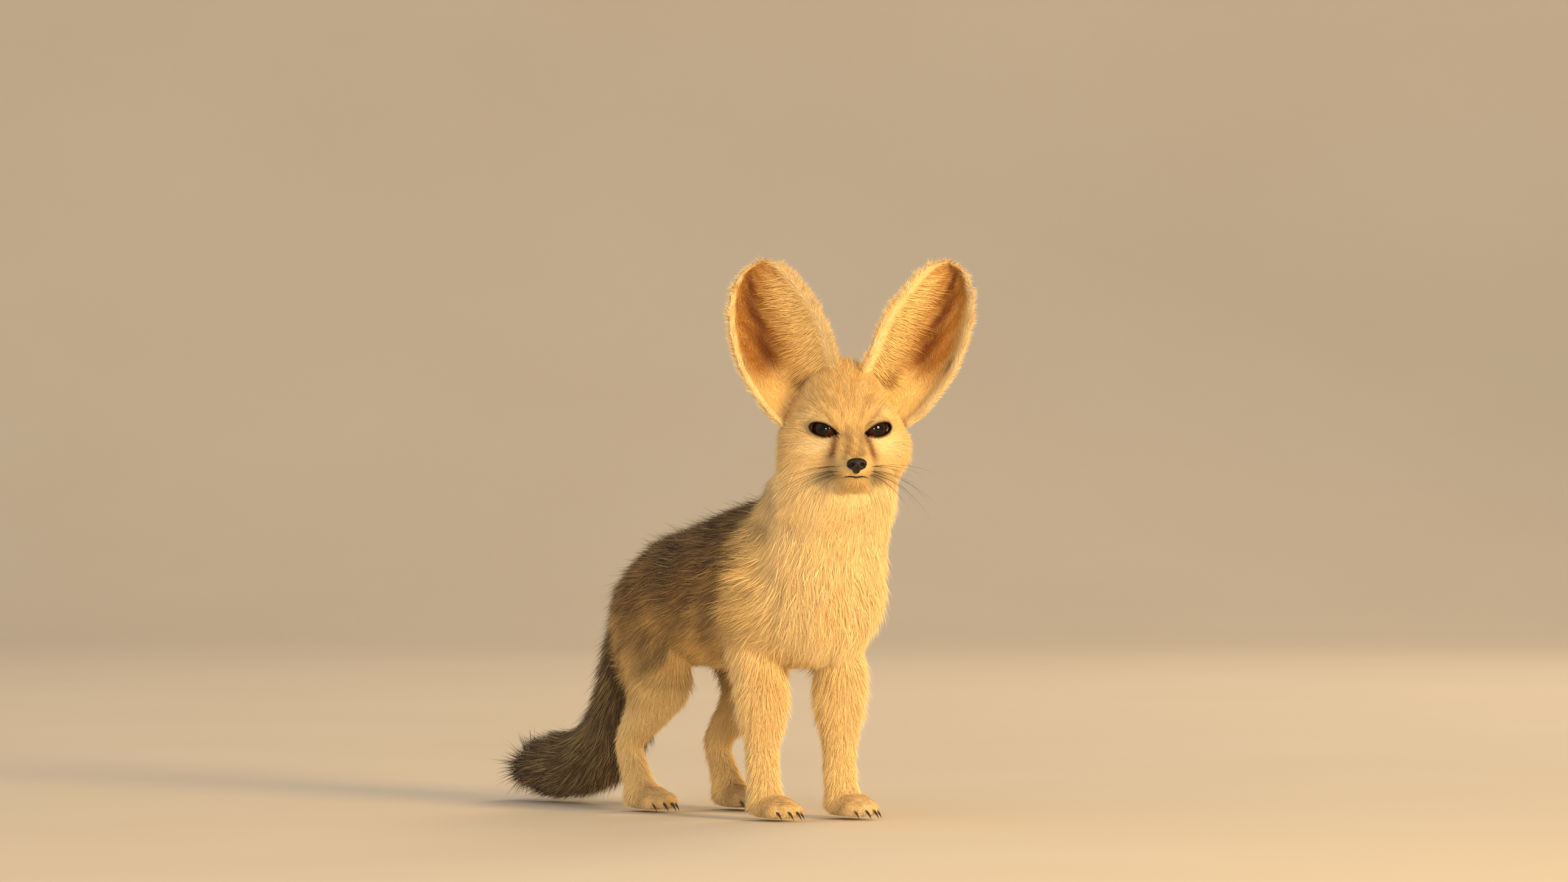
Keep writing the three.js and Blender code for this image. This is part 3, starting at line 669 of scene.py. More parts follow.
class Tone:
    """Colours of the coat and the bare parts."""

    CREAM = shade("f4d596")
    WHITE = shade("fdeabf")
    SAND = shade("dcab60")
    BROWN = shade("8a6238")
    GREY = shade("6d5a49")
    DARK = shade("2a1f19")
    TEAR = shade("7a4522")
    EAR_TAN = shade("b8823c")
    EAR_PINK = shade("b57a40")
    RIM = shade("1c110c")


@dataclass
class Fields:
    """What the coat does at each point of a mesh.

    Attributes:
        lie: the way the hair lies.
        long: its length in millimetres.
        lift: how far its tips end off the skin in millimetres.
        wide: its width in millimetres.
        thick: the share of the full number of tufts.
        coat: its colour.
        dark: how dark its tips are, from 0 to 1.
        part: the part of the fox.
        SPAN: how much of its length bent hair reaches along the skin.
        SLOPES: how steeply hair may lie, into the skin and off it.
    """

    SPAN = 0.85
    SLOPES = (-0.3, 0.45)

    lie: Array
    long: Array
    lift: Array
    wide: Array
    thick: Array
    coat: Array
    dark: Array
    part: Array

    def onto(self, mesh: Mesh) -> None:
        """Stores the fields on a mesh, with the hair combed over its surface."""
        self.comb(mesh)
        for name in ("lie", "long", "wide", "thick", "coat", "dark"):
            store(mesh, name, getattr(self, name))

    def comb(self, mesh: Mesh) -> None:
        """Turns the lie up or down at each root until the hair ends as far off the skin as it should."""
        points, normal = places(mesh), outwards(mesh)
        tree = BVHTree.FromPolygons(points.tolist(), [tuple(face.vertices) for face in mesh.polygons])
        flat = unit(self.lie - normal * (self.lie * normal).sum(1)[:, None])
        span = np.maximum(self.SPAN * self.long, 0.1)
        ahead = points + flat * span[:, None]
        over = np.zeros(len(points))
        for n, place in enumerate(ahead.tolist()):
            found, facing, _, _ = tree.find_nearest(place)
            over[n] = (Vector(place) - found).dot(facing)
        self.lie = flat + normal * np.clip((self.lift - over) / span, *self.SLOPES)[:, None]


@dataclass
class Markings:
    """The lie, length and colour of the coat all over the fox.

    Attributes:
        flesh: the forms that the coat covers.
        nose: the place ahead of the nose from which the face's hair runs back.
        pad: the middle of the bare nose.
        mantle_front: where the dark mantle of the back ends, towards the chest.
        mantle_low: the height below which the flanks turn pale.
        SIZES: each part's hair: its length, how far the tips stand off, and its width.
        FURROWS: the brown lines over and beside the eyes, each with how dark it is.
        SPOTS: the heights of the rows of spots that the whiskers grow from.
        TEAR: the dark line from the eye's inner corner.
    """

    SIZES = {
        Part.HEAD: (6.0, 1.3, 0.46), Part.NECK: (16, 3.6, 0.62), Part.TRUNK: (21, 5.0, 0.66),
        Part.TAIL: (24, 7.5, 0.72), Part.FORELEG: (10.5, 2.4, 0.62), Part.THIGH: (18, 4.4, 0.66),
        Part.SHIN: (10, 2.1, 0.62), Part.PAW: (5.5, 1.1, 0.56),
    }
    FURROWS = (
        (((7.6, -0.5), (10.4, 3.2), (14.2, 7.6)), 0.6), (((4.6, 3.0), (6.4, 8.5), (9.2, 15.0)), 0.45),
        (((1.6, 9.0), (2.4, 20.0)), 0.35), (((13.0, 8.4), (18.0, 10.4), (25.0, 9.6)), 0.4),
        (((8.5, 8.0), (12.5, 15.5)), 0.35),
    )
    SPOTS = (-22.0, -24.4, -26.6)
    TEAR = ((8.8, -2.8), (7.9, -7.2), (9.2, -11.0), (10.8, -15.5))

    flesh: Flesh
    nose: Place = (48.0, 0.0, -16.0)
    pad: Place = (42.8, 0.0, -20.8)
    mantle_front: float = 58.0
    mantle_low: float = 94.0

    def nearness(self, points: Array) -> tuple[Array, Array]:
        """For each part, the nearest form's distance as a share of its girth, and the place along it."""
        reach = np.full((len(points), len(Part)), 1e3)
        along = np.zeros((len(points), len(Part)))
        for part, form in self.flesh.parts():
            share, s = form.near(points)
            closer = share < reach[:, part]
            reach[closer, part] = share[closer]
            along[closer, part] = s[closer]
        return reach, along

    def head_lie(self, head: Array) -> Array:
        """The hair's lie on the head: back from the nose, fanned over the brow and down over the cheeks."""
        lie = unit(head - self.nose)
        cheek = ramp(-head[:, 2], 2, 20) * ramp(26 - head[:, 0], 0, 18)
        lie[:, 2] -= 1.0 * cheek
        lie[:, 1] += 0.3 * cheek * np.sign(head[:, 1])
        brow = ramp(head[:, 2], 2, 20)
        lie[:, 2] += 0.5 * brow
        lie[:, 1] += 0.35 * brow * np.sign(head[:, 1]) * ramp(np.abs(head[:, 1]), 2, 10)
        return unit(lie)

    def lies(self, points: Array, head: Array, along: Array, share: Array) -> Array:
        """The hair's lie at points, blended between the parts.

        Args:
            points: places in the fox's frame.
            head: the same places in the head's frame.
            along: places along each part's spine.
            share: each part's share at each point.

        Returns:
            One direction for each point.
        """
        side = np.sign(points[:, 1])
        ways = np.zeros((len(points), len(Part), 3))
        ways[:, Part.HEAD] = self.head_lie(head) @ HEAD.matrix().T
        front = ramp(points[:, 0], 56, 88)
        ways[:, Part.NECK] = np.stack([-0.8 + 0.7 * front, 0.14 * side, -0.75 - 0.2 * front], 1)
        chest = ramp(points[:, 0], 66, 92)
        low = ramp(130 - points[:, 2], 0, 40)
        trunk = np.stack([-0.95 * (1 - chest), 0.1 * side, -0.42 - 0.25 * low - 0.5 * chest], 1)
        ways[:, Part.TRUNK] = trunk
        ways[:, Part.TAIL] = self.flesh.tail().ahead(along[:, Part.TAIL])
        ways[:, Part.FORELEG] = [-0.12, 0, -1]
        ways[:, Part.THIGH] = [-0.55, 0, -0.85]
        ways[:, Part.SHIN] = [-0.35, 0, -0.95]
        ways[:, Part.PAW] = [0.9, 0, -0.45]
        long_coat = share[:, [Part.NECK, Part.TRUNK, Part.TAIL, Part.THIGH]].sum(1)
        strays = drift(points, 5.5, 3) * (0.07 + 0.17 * long_coat)[:, None] + 0.08 * drift(points, 2.2, 4)
        return unit((unit(ways) * share[:, :, None]).sum(1) + strays)

    def stroke(self, wide: Array, z: Array, path: Sequence[tuple[float, float]], width: float) -> Array:
        """How near places, seen from ahead, are to a line on the face.

        Args:
            wide: how far to the side the places are.
            z: their height.
            path: points of the line, to the side and up.
            width: how wide the line is.

        Returns:
            A share from 0 to 1 for each place.
        """
        points = np.array(path)
        found = np.stack([wide, z], 1)
        reach = np.full(len(wide), 1e3)
        for a, b in zip(points[:-1], points[1:]):
            t = np.clip(((found - a) @ (b - a)) / ((b - a) @ (b - a)), 0, 1)
            reach = np.minimum(reach, np.linalg.norm(found - (a + t[:, None] * (b - a)), axis=1))
        return bell(reach / width)

    def face_colour(self, head: Array) -> tuple[Array, Array]:
        """The head's colour and the darkness of its tips.

        Args:
            head: places in the head's frame.

        Returns:
            The colours and the darkness.
        """
        x, y, z = head.T
        wide = np.abs(y)
        ahead = ramp(x, 4, 12)
        flecks = drift(head, 1.5, 31)[:, 0]
        forehead = ramp(z, 2, 30) * (1 - ramp(wide, 10, 32))
        patch = bell((wide - 17) / 8.5, (z + 10) / 5.5) * ahead
        jaw = ramp(-z, 12, 24) * ramp(30 - x, 0, 12)
        brow = bell((wide - 17) / 7, (z - 7.5) / 2.6) * ahead
        whiskered = 0.5 * ramp(wide, 6, 8) * ramp(x, 26, 30)
        furrows = [
            (Tone.BROWN, 1.1 * share * self.stroke(wide, z + 0.5 * flecks, path, 0.9) * ahead)
            for path, share in self.FURROWS
        ]
        bridge = ramp(x, 12, 20) * (1 - ramp(wide, 3.5, 8.5)) * ramp(z, -25, -16) * (1 - ramp(z, -6, 2))
        side = bell((wide - 11.5) / 3.2, (z + 17) / 5) * ramp(x, 18, 26)
        # The whisker pads, darker: partly their own colour, partly painted shade below the muzzle.
        pad = bell((wide - 13.5) / 6, (z + 26.5) / 4.2) * ramp(x, 10, 20)
        chin = bell(wide / 9, (z + 31.5) / 3.0) * ramp(x, 24, 34)
        spots = [
            (Tone.DARK, bell((z - height) / 0.5) * ramp(np.cos(x * 2.4 + height), 0.6, 0.95) * whiskered)
            for height in self.SPOTS
        ]
        colour = layered(
            Tone.CREAM,
            (Tone.SAND, np.clip(0.32 + 0.2 * flecks, 0, 1) * forehead),
            (Tone.SAND, 0.4 * ramp(wide, 24, 36) * ramp(20 - x, 0, 16)),
            (Tone.WHITE, np.maximum(0.95 * patch, 0.6 * jaw)),
            (Tone.WHITE, 0.5 * brow),
            *furrows,
            (Tone.BROWN, np.clip(0.42 + 0.14 * flecks, 0, 1) * bridge),
            (Tone.BROWN, 0.45 * side + 0.3 * chin),
            (Tone.DARK, 0.6 * pad),
            *spots,
            (Tone.TEAR, 0.95 * self.stroke(wide, z, self.TEAR, 1.6) * ramp(x, 14, 18)),
        )
        for side in (-1, 1):
            local = EYES.local(head, side)
            away = np.where(local[:, 2] > 0, EYES.beyond(local), 99)
            colour = mixed(colour, Tone.TEAR, 0.5 * (1 - ramp(away, 0.6, 2.2)))
            colour = mixed(colour, Tone.DARK, 0.9 * (1 - ramp(away, 0.4, 1.0)))
        back = ramp(-x, 2, 24) * ramp(z, -24, 6)
        colour = mixed(colour, Tone.SAND, 0.7 * back)
        return colour, 0.3 * back + 0.12 * ramp(z, 4, 26) + 0.25 * bridge

    def body_colour(self, points: Array, share: Array, along: Array) -> tuple[Array, Array]:
        """The body's colour and the darkness of its tips.

        Args:
            points: places in the fox's frame.
            share: each part's share at each point.
            along: places along each part's spine.

        Returns:
            The colours and the darkness.
        """
        x, _, z = points.T
        streak = drift(points, 7.0, 5)[:, 0]
        mottle = np.clip(0.5 + 0.45 * streak, 0, 1)
        # Upright stripes over the back and flanks: partly the coat's own streaks, partly painted shade in
        # the coat's folds.
        streaks_and_fold_shade = 0.5 + 0.5 * np.sin((x + 0.35 * z) / 4.6 + 2.6 * drift(points, 13.0, 6)[:, 0])
        streaks_and_fold_shade = 0.5 + (streaks_and_fold_shade - 0.5) * np.clip(0.75 + 0.4 * drift(points, 15.0, 8)[:, 1], 0.3, 1)
        edge = self.mantle_front + 5 * streak + 0.14 * (z - 150)
        mantle = ramp(edge - x, -16, 30) * ramp(z, self.mantle_low - 9 * streak, 156)
        legs = share[:, [Part.FORELEG, Part.SHIN, Part.PAW]].sum(1)
        mantle = mantle * (1 - legs) * (1 - share[:, Part.HEAD])
        tail = share[:, Part.TAIL]
        hip = ramp(-x, 10, 40) * ramp(z, 66, 100) * (1 - tail) * (1 - legs)
        # Paler between the stripes: partly the coat's own paler streaks, partly painted light on the folds'
        # crests.
        pale = ramp(0.3 - streaks_and_fold_shade, 0, 0.25) * (1 - tail)
        ridge = ramp(z, 150, 184) * ramp(62 - x, 0, 20) * (1 - share[:, Part.HEAD])
        colour = layered(
            Tone.CREAM,
            (Tone.WHITE, 0.6 * ramp(x, 60, 90) * (0.6 + 0.4 * mottle) + 0.3 * legs),
            (Tone.SAND, 0.5 * ramp(66 - x, 0, 30) * ramp(z, 84, 116) * (1 - legs)),
            (Tone.GREY, 0.8 * hip * ramp(streaks_and_fold_shade, 0.35, 0.85) * (1 - 0.5 * mantle)),
            (Tone.BROWN, 0.8 * mantle),
            (Tone.GREY, 0.85 * mantle * (0.2 + 0.35 * mottle + 0.45 * streaks_and_fold_shade)),
            (Tone.SAND, 0.4 * pale * mantle * (1 - ramp(z, 146, 172))),
            (Tone.DARK, 0.45 * ridge * (0.5 + 0.5 * streaks_and_fold_shade)),
            (Tone.GREY, 0.9 * tail),
        )
        dark = np.maximum(np.maximum((0.5 + 0.35 * streaks_and_fold_shade) * mantle, 0.5 * hip * streaks_and_fold_shade), 0.75 * tail)
        tip = tail * ramp(along[:, Part.TAIL], 0.72, 0.9)
        colour = mixed(colour, Tone.DARK, tip)
        return colour, np.maximum(dark, tip)

    def hair(self, points: Array, head: Array, share: Array) -> Array:
        """The hair's length, how far its tips stand off, and its width at points."""
        hx, hy, hz = head.T
        cheek = ramp(-hz, -4, 14) * ramp(22 - hx, 0, 16) * ramp(np.abs(hy), 12, 26)
        back = ramp(-hx, 0, 22)
        under = ramp(-hz, 27, 32) * ramp(46 - hx, 0, 8)
        muzzle = ramp(hx, 16, 30) * (1 - under)
        crown = bell(hy / 9) * ramp(hz, 24, 36)
        low_cheek = ramp(-hz, 14, 26) * ramp(22 - hx, 0, 10)
        tail_end = ramp(-points[:, 0], 180, 205)
        sizes = np.zeros((len(points), 3))
        for part, values in self.SIZES.items():
            sizes += share[:, [part]] * np.array(values)
        on_head = share[:, Part.HEAD]
        sizes[:, 0] += on_head * (8 * cheek + 4 * low_cheek + 5 * back + 4 * under - 3 * muzzle + 5 * crown)
        sizes[:, 1] += on_head * (2.4 * cheek + 1.2 * back + 0.9 * under - 0.5 * muzzle + 3 * crown)
        sizes[:, 2] += on_head * (0.14 * cheek + 0.12 * back - 0.1 * muzzle)
        upper_leg = share[:, Part.FORELEG] * ramp(points[:, 2], 48, 84)
        sizes[:, 0] += 6 * upper_leg
        sizes[:, 1] += 3.2 * upper_leg
        low_chest = ramp(points[:, 0], 40, 70) * ramp(130 - points[:, 2], 0, 30) * share[:, Part.TRUNK]
        sizes[:, 1] *= 1 - 0.55 * low_chest
        sizes[:, 1] *= 1 - 0.4 * tail_end
        return sizes * (1 + 0.14 * np.clip(drift(points, 3.2, 9), -1.6, 1.6) * [1, 1, 0])

    def fields(self, points: Array) -> Fields:
        """All that the coat does at points.

        Args:
            points: places in the fox's frame.

        Returns:
            The fields.
        """
        head = HEAD.to_head(points)
        reach, along = self.nearness(points)
        share = np.exp(-9 * (reach - reach.min(1, keepdims=True)))
        share /= share.sum(1, keepdims=True)
        lie = self.lies(points, head, along, share)
        sizes = self.hair(points, head, share)
        thick = ramp(np.linalg.norm((head - self.pad) / [1, 1.15, 0.95], axis=1), 5.6, 7.4)
        thick *= ramp(points[:, 2], 1.2, 2.4)
        colour, dark = self.body_colour(points, share, along)
        face, face_dark = self.face_colour(head)
        in_head = share[:, Part.HEAD]
        colour += (face - colour) * in_head[:, None]
        dark += (face_dark - dark) * in_head
        for side in (-1, 1):
            local = EYES.local(head, side)
            thick[(EYES.beyond(local) < 2.2) & (local[:, 2] > -2) & (in_head > 0.5)] = 0
        return Fields(lie, sizes[:, 0], sizes[:, 1], sizes[:, 2], thick, colour, dark, reach.argmin(1))


@dataclass
class Skin:
    """The fox's skin: one closed surface over all its flesh.

    Attributes:
        flesh: the forms under it.
        markings: the coat's fields.
        voxel: its fineness.
        NODES: the solids that it stands for.
    """

    NODES = ["head", "neck", "torso", "tail_root", "tail_middle", "tail_tip"] + [
        f"{length}_{side}"
        for side in ("left", "right")
        for length in ("thigh", "shin", "hind_foot", "front_leg", "front_paw")
    ]

    flesh: Flesh
    markings: Markings
    voxel: float = 1.35

    def build(self) -> Thing:
        """Makes the skin, with its colours.

        Returns:
            The skin's object.
        """
        forms = joined(form.shell() for _, form in self.flesh.parts())
        made = wrapped(mesh_object("skin", *forms), self.voxel)
        self.shape(made.data)
        fields = self.markings.fields(places(made.data))
        fields.onto(made.data)
        store(made.data, "part", fields.part.astype(float))
        return made

    def shape(self, mesh: Mesh) -> None:
        """Softens the joins of the forms, and opens the sockets of the eyes."""
        points = places(mesh)
        head = HEAD.to_head(points)
        face = ramp(head[:, 0], 4, 16) * ramp(head[:, 2], -44, -36)
        feet = 1 - ramp(points[:, 2], 14, 34)
        points = relaxed(mesh, points, 0.6 * (1 - 0.75 * np.maximum(face, feet)), 26)
        breast = ramp(points[:, 0], 40, 62) * ramp(points[:, 2], 92, 116) * ramp(-head[:, 2], 34, 46)
        points = relaxed(mesh, points, 0.6 * breast, 90)
        points[:, 2] = np.maximum(points[:, 2], 0.25)
        head = HEAD.to_head(points)
        for side in (-1, 1):
            local = EYES.local(head, side)
            within = (EYES.beyond(local) < 1.6) & (local[:, 2] > 0) & (local[:, 2] < 14)
            local[within, 2] = np.minimum(local[within, 2], 1.5)
            head[within] = EYES.out_of_local(local[within], side)
        move_to(mesh, HEAD.to_body(head))


class Tuft(Enum):
    """Kinds of tuft: rings, each by how far along, how wide and how high in widths, and the tip's height."""

    SPIKE = (((0.0, 1.0, -0.35),), 0.0)
    LOCK = (((0.0, 0.85, -0.35), (0.45, 0.95, 1.5)), 0.4)

    def meshes(self) -> bpy.types.Collection:
        """A collection of this kind's tufts: straight and swayed to either side.

        Returns:
            The collection, which isn't in the scene.
        """
        rings, top = self.value
        made = bpy.data.collections.new("tufts_" + self.name.lower())
        for n, sway in enumerate((0.0, 2.4, -2.4)):
            points, leaf, along = [], [], []
            for t, width, height in rings:
                y = sway * t * t
                points += [(t, y - width / 2, height), (t, y + width / 2, height)]
                points.append((t, y, height + 0.4 * width))
                leaf += [(t - 0.5, -0.5, 0), (t - 0.5, 0.5, 0), (t - 0.5, 0, 0)]
                along += [t] * 3
            points.append((1.0, sway, top))
            leaf.append((0.5, 0, 0))
            along.append(1.0)
            faces = [(0, 2, 1)]
            tip = len(points) - 1
            for j in range(3):
                k = (j + 1) % 3
                faces += [(row + j, row + k, row + 3 + k, row + 3 + j) for row in range(0, tip - 3, 3)]
                faces.append((tip - 3 + j, tip - 3 + k, tip))
            mesh = bpy.data.meshes.new(f"tuft_{self.name.lower()}_{n}")
            mesh.from_pydata(points, [], faces)
            store(mesh, "leaf", np.array(leaf, float))
            store(mesh, "along", np.array(along))
            made.objects.link(bpy.data.objects.new(mesh.name, mesh))
        return made


@dataclass
class Nodes:
    """A tree of nodes in the making.

    Attributes:
        tree: the tree.
    """

    tree: bpy.types.NodeTree

    def add(self, kind: str, *joins: tuple[object, object], **settings: object) -> bpy.types.Node:
        """Adds a node.

        Args:
            kind: its type.
            joins: pairs of one of its inputs, by name or number, and a socket or value for it.
            settings: its properties.

        Returns:
            The node.
        """
        node = self.tree.nodes.new(kind)
        for key, value in settings.items():
            setattr(node, key, value)
        for name, value in joins:
            if isinstance(value, Socket):
                self.tree.links.new(value, node.inputs[name])
            else:
                node.inputs[name].default_value = value
        return node

    def math(self, kind: str, *values: object) -> Socket:
        """A sum, product or other result of numbers."""
        return self.add("ShaderNodeMath", *enumerate(values), operation=kind).outputs[0]

    def times(self, *values: object) -> Socket:
        """The product of numbers."""
        product = values[0]
        for value in values[1:]:
            product = self.math("MULTIPLY", product, value)
        return product


class Tree(Nodes):
    """A Geometry Nodes tree in the making.

    Attributes:
        sockets: the modifier's identifiers of its named inputs.
        usual: the inputs' usual values.
    """

    def __init__(self, name: str, inputs: Sequence[tuple[str, str, object]]) -> None:
        """Starts a tree.

        Args:
            name: the tree's name.
            inputs: name, socket kind and value of each input after the geometry.
        """
        super().__init__(bpy.data.node_groups.new(name, "GeometryNodeTree"))
        face = self.tree.interface
        face.new_socket("Geometry", in_out="INPUT", socket_type="NodeSocketGeometry")
        self.sockets: dict[str, str] = {}
        self.usual: dict[str, object] = {}
        for label, kind, value in inputs:
            socket = face.new_socket(label, in_out="INPUT", socket_type="NodeSocket" + kind)
            self.sockets[label] = socket.identifier
            if value is not None:
                socket.default_value = self.usual[label] = value
        face.new_socket("Geometry", in_out="OUTPUT", socket_type="NodeSocketGeometry")
        self.given = self.tree.nodes.new("NodeGroupInput").outputs
        self.end = self.tree.nodes.new("NodeGroupOutput")

    def fit(self, made: Thing, values: dict[str, object]) -> Thing:
        """The object with the tree's result as its plain mesh, all of it in the finish given.

        Args:
            made: the object that the tree works on.
            values: the finish, and the other inputs that differ from the usual ones.

        Returns:
            The same object.
        """
        modifier = made.modifiers.new(self.tree.name, "NODES")
        modifier.node_group = self.tree
        for label, value in (self.usual | values).items():
            modifier[self.sockets[label]] = value
        mesh = settled(made).data
        mesh.materials.clear()
        mesh.materials.append(values["Finish"])
        mesh.polygons.foreach_set("material_index", np.zeros(len(mesh.polygons), np.int32))
        return made

    def finish(self, geometry: Socket) -> None:
        """Ends the tree: the geometry gets its material and goes out."""
        joins = ("Geometry", geometry), ("Material", self.given["Finish"])
        self.tree.links.new(self.add("GeometryNodeSetMaterial", *joins).outputs[0], self.end.inputs[0])

    def named(self, name: str, kind: str) -> Socket:
        """The value of a named attribute."""
        return self.add("GeometryNodeInputNamedAttribute", ("Name", name), data_type=kind).outputs[0]

    def random(self, low: object, high: object, seed: int = 0) -> Socket:
        """A random number for each point, between two bounds."""
        base = self.math("ADD", self.given["Seed"], float(seed))
        return self.add("FunctionNodeRandomValue", (2, low), (3, high), ("Seed", base)).outputs[1]

    def scaled(self, way: Socket, by: Socket) -> Socket:
        """A direction made longer."""
        return self.add("ShaderNodeVectorMath", (0, way), ("Scale", by), operation="SCALE").outputs[0]

    def summed(self, a: Socket, b: Socket) -> Socket:
        """The sum of two directions."""
        return self.add("ShaderNodeVectorMath", (0, a), (1, b), operation="ADD").outputs[0]

    def kept(self, geometry: Socket, name: str, value: Socket, kind: str, domain: str) -> Socket:
        """The geometry with a value stored under a name."""
        joins = ("Geometry", geometry), ("Name", name), ("Value", value)
        return self.add("GeometryNodeStoreNamedAttribute", *joins, data_type=kind, domain=domain).outputs[0]


@dataclass
class Fur:
    """Makes coats of tufts over beds.

    Attributes:
        scatter: how far tufts turn from the lie.
        uneven: how much tufts differ in length.
        patch: the width of each tuft's place on the bed's unwrap.
        floor: the height under which hair bends along the floor.
        kinds: the single tufts, by kind.
        made: the tree, once it is there.
    """

    scatter: float = 0.14
    uneven: float = 0.28
    patch: float = 0.003
    floor: float = 4.0
    kinds: dict[Tuft, bpy.types.Collection] = field(default_factory=dict)
    made: Tree | None = None

    def tree(self) -> Tree:
        """The tree that grows tufts over a bed.

        Returns:
            The finished tree.
        """
        made = Tree(
            "fur",
            [
                ("Tufts", "Collection", None), ("Density", "Float", 1e6), ("Seed", "Int", 1),
                ("Scatter", "Float", self.scatter), ("Shortest", "Float", 1 - self.uneven),
                ("Longest", "Float", 1 + self.uneven), ("Wider", "Float", 1.0), ("Rise", "Float", 0.0),
                ("Patch", "Float", self.patch), ("Finish", "Material", None),
            ],
        )
        given, number, way = made.given, "FLOAT", "FLOAT_VECTOR"
        spread = made.add(
            "GeometryNodeDistributePointsOnFaces", ("Mesh", given["Geometry"]), ("Seed", given["Seed"]),
            ("Density", made.times(given["Density"], made.named("thick", number))),
        ).outputs
        stray = made.add(
            "FunctionNodeRandomValue", (0, (-1, -1, -1)), (1, (1, 1, 1)), ("Seed", given["Seed"]),
            data_type=way,
        ).outputs[0]
        lie = made.summed(made.named("lie", way), made.scaled(stray, given["Scatter"]))
        facing = made.add(
            "FunctionNodeAxesToRotation", (1, spread["Normal"]),
            (0, made.summed(lie, made.scaled(spread["Normal"], given["Rise"]))),
            primary_axis="X", secondary_axis="Z",
        )
        wide = made.times(made.named("wide", number), given["Wider"], made.random(0.7, 1.3, 7), 1 / METRE)
        varied = made.random(given["Shortest"], given["Longest"])
        long = made.times(made.named("long", number), varied, 1 / METRE)
        size = made.add("ShaderNodeCombineXYZ", ("X", long), ("Y", wide), ("Z", wide))
        choice = made.add(
            "GeometryNodeCollectionInfo", ("Collection", given["Tufts"]), ("Separate Children", True),
            ("Reset Children", True),
        )
        placed = made.add(
            "GeometryNodeInstanceOnPoints", ("Instance", choice.outputs[0]), ("Pick Instance", True),
            ("Points", made.kept(spread["Points"], "tone", made.random(0, 1, 19), number, "POINT")),
            ("Rotation", facing.outputs[0]), ("Scale", size.outputs[0]),
        )
        solid = made.add("GeometryNodeRealizeInstances", ("Geometry", placed.outputs[0])).outputs[0]
        spot = made.summed(made.named("bed", way), made.scaled(made.named("leaf", way), given["Patch"]))
        made.finish(made.kept(solid, "OFBake", spot, "FLOAT2", "CORNER"))
        return made

    def grow(
        self, bed: Thing, name: str, kind: Tuft, count: int, finish: Material, seed: int,
        **changed: float,
    ) -> Thing:
        """Grows a coat over a bed, and takes the bed away.

        Args:
            bed: the object whose surface and fields the coat follows.
            name: the coat's name.
            kind: the kind of tuft.
            count: about how many tufts.
            finish: the coat's material.
            seed: the row of random numbers.
            changed: values of the tree's inputs that differ from the usual ones.

        Returns:
            The coat's object.
        """
        self.made = self.made or self.tree()
        if kind not in self.kinds:
            self.kinds[kind] = kind.meshes()
        coat = put(name, bed.data)
        bpy.data.objects.remove(bed)
        density = count / self.full_area(coat.data)
        values = {"Tufts": self.kinds[kind], "Density": density, "Seed": seed, "Finish": finish}
        self.made.fit(coat, values | changed)
        self.tidy(coat.data)
        LOG.info("%s: about %d triangles", name, count * (4 + 6 * (len(kind.value[0]) - 1)))
        return coat

    def tidy(self, mesh: Mesh) -> None:
        """Bends the hair along the floor, and keeps what the finish reads."""
        points = places(mesh)
        low = points[:, 2] < self.floor
        points[low, 2] = self.floor * np.exp(points[low, 2] / self.floor - 1)
        move_to(mesh, points)
        for name in ("wide", "long", "thick", "part", "lie", "leaf", "bed", "id", "up", "across"):
            if name in mesh.attributes:
                mesh.attributes.remove(mesh.attributes[name])

    def full_area(self, mesh: Mesh) -> float:
        """A mesh's area in square metres, each face by its share of tufts."""
        first = read(mesh.polygons, "loop_start", 1, np.int32)
        corner = read(mesh.loops, "vertex_index", 1, np.int32)
        return float((read(mesh.polygons, "area") * stored(mesh, "thick")[corner[first]]).sum())

    def clear(self) -> None:
        """Removes the single tufts."""
        for kept in self.kinds.values():
            for tuft in list(kept.objects):
                bpy.data.objects.remove(tuft)
            bpy.data.collections.remove(kept)


def unwrap(bed: Thing) -> None:
    """Lays a bed's surface out flat in its UV map named bed."""
    bed.data.uv_layers.new(name="bed")
    for other in bpy.context.view_layer.objects:
        other.select_set(other == bed)
    bpy.context.view_layer.objects.active = bed
    bpy.ops.object.mode_set(mode="EDIT")
    bpy.ops.mesh.select_all(action="SELECT")
    bpy.ops.uv.smart_project(angle_limit=math.radians(66), island_margin=0.004)
    bpy.ops.object.mode_set(mode="OBJECT")


def bed_of(source: Thing, name: str, chosen: Array) -> Thing:
    """A bed made of some of a surface's faces, unwrapped.

    Args:
        source: the object with the surface and its fields.
        name: the bed's name.
        chosen: whether each point's faces belong to the bed.

    Returns:
        The bed.
    """
    mesh = source.data
    sizes = read(mesh.polygons, "loop_total", 1, np.int32)
    corner = read(mesh.loops, "vertex_index", 1, np.int32)
    starts = np.concatenate([[0], np.cumsum(sizes)[:-1]])
    kept = np.nonzero(chosen[corner[starts]])[0]
    loops = np.concatenate([corner[starts[f] : starts[f] + sizes[f]] for f in kept])
    used, index = np.unique(loops, return_inverse=True)
    made = bpy.data.meshes.new(name)
    faces = np.split(index, np.cumsum(sizes[kept])[:-1])
    made.from_pydata(read(mesh.vertices, "co", 3)[used].tolist(), [], [f.tolist() for f in faces])
    for attribute in mesh.attributes:
        if attribute.domain != "POINT" or attribute.name.startswith(".") or attribute.name == "position":
            continue
        for width, (kind, key) in WIDTHS.items():
            if kind == attribute.data_type:
                store(made, attribute.name, read(attribute.data, key, width)[used])
    bed = put(name, made)
    unwrap(bed)
    return bed


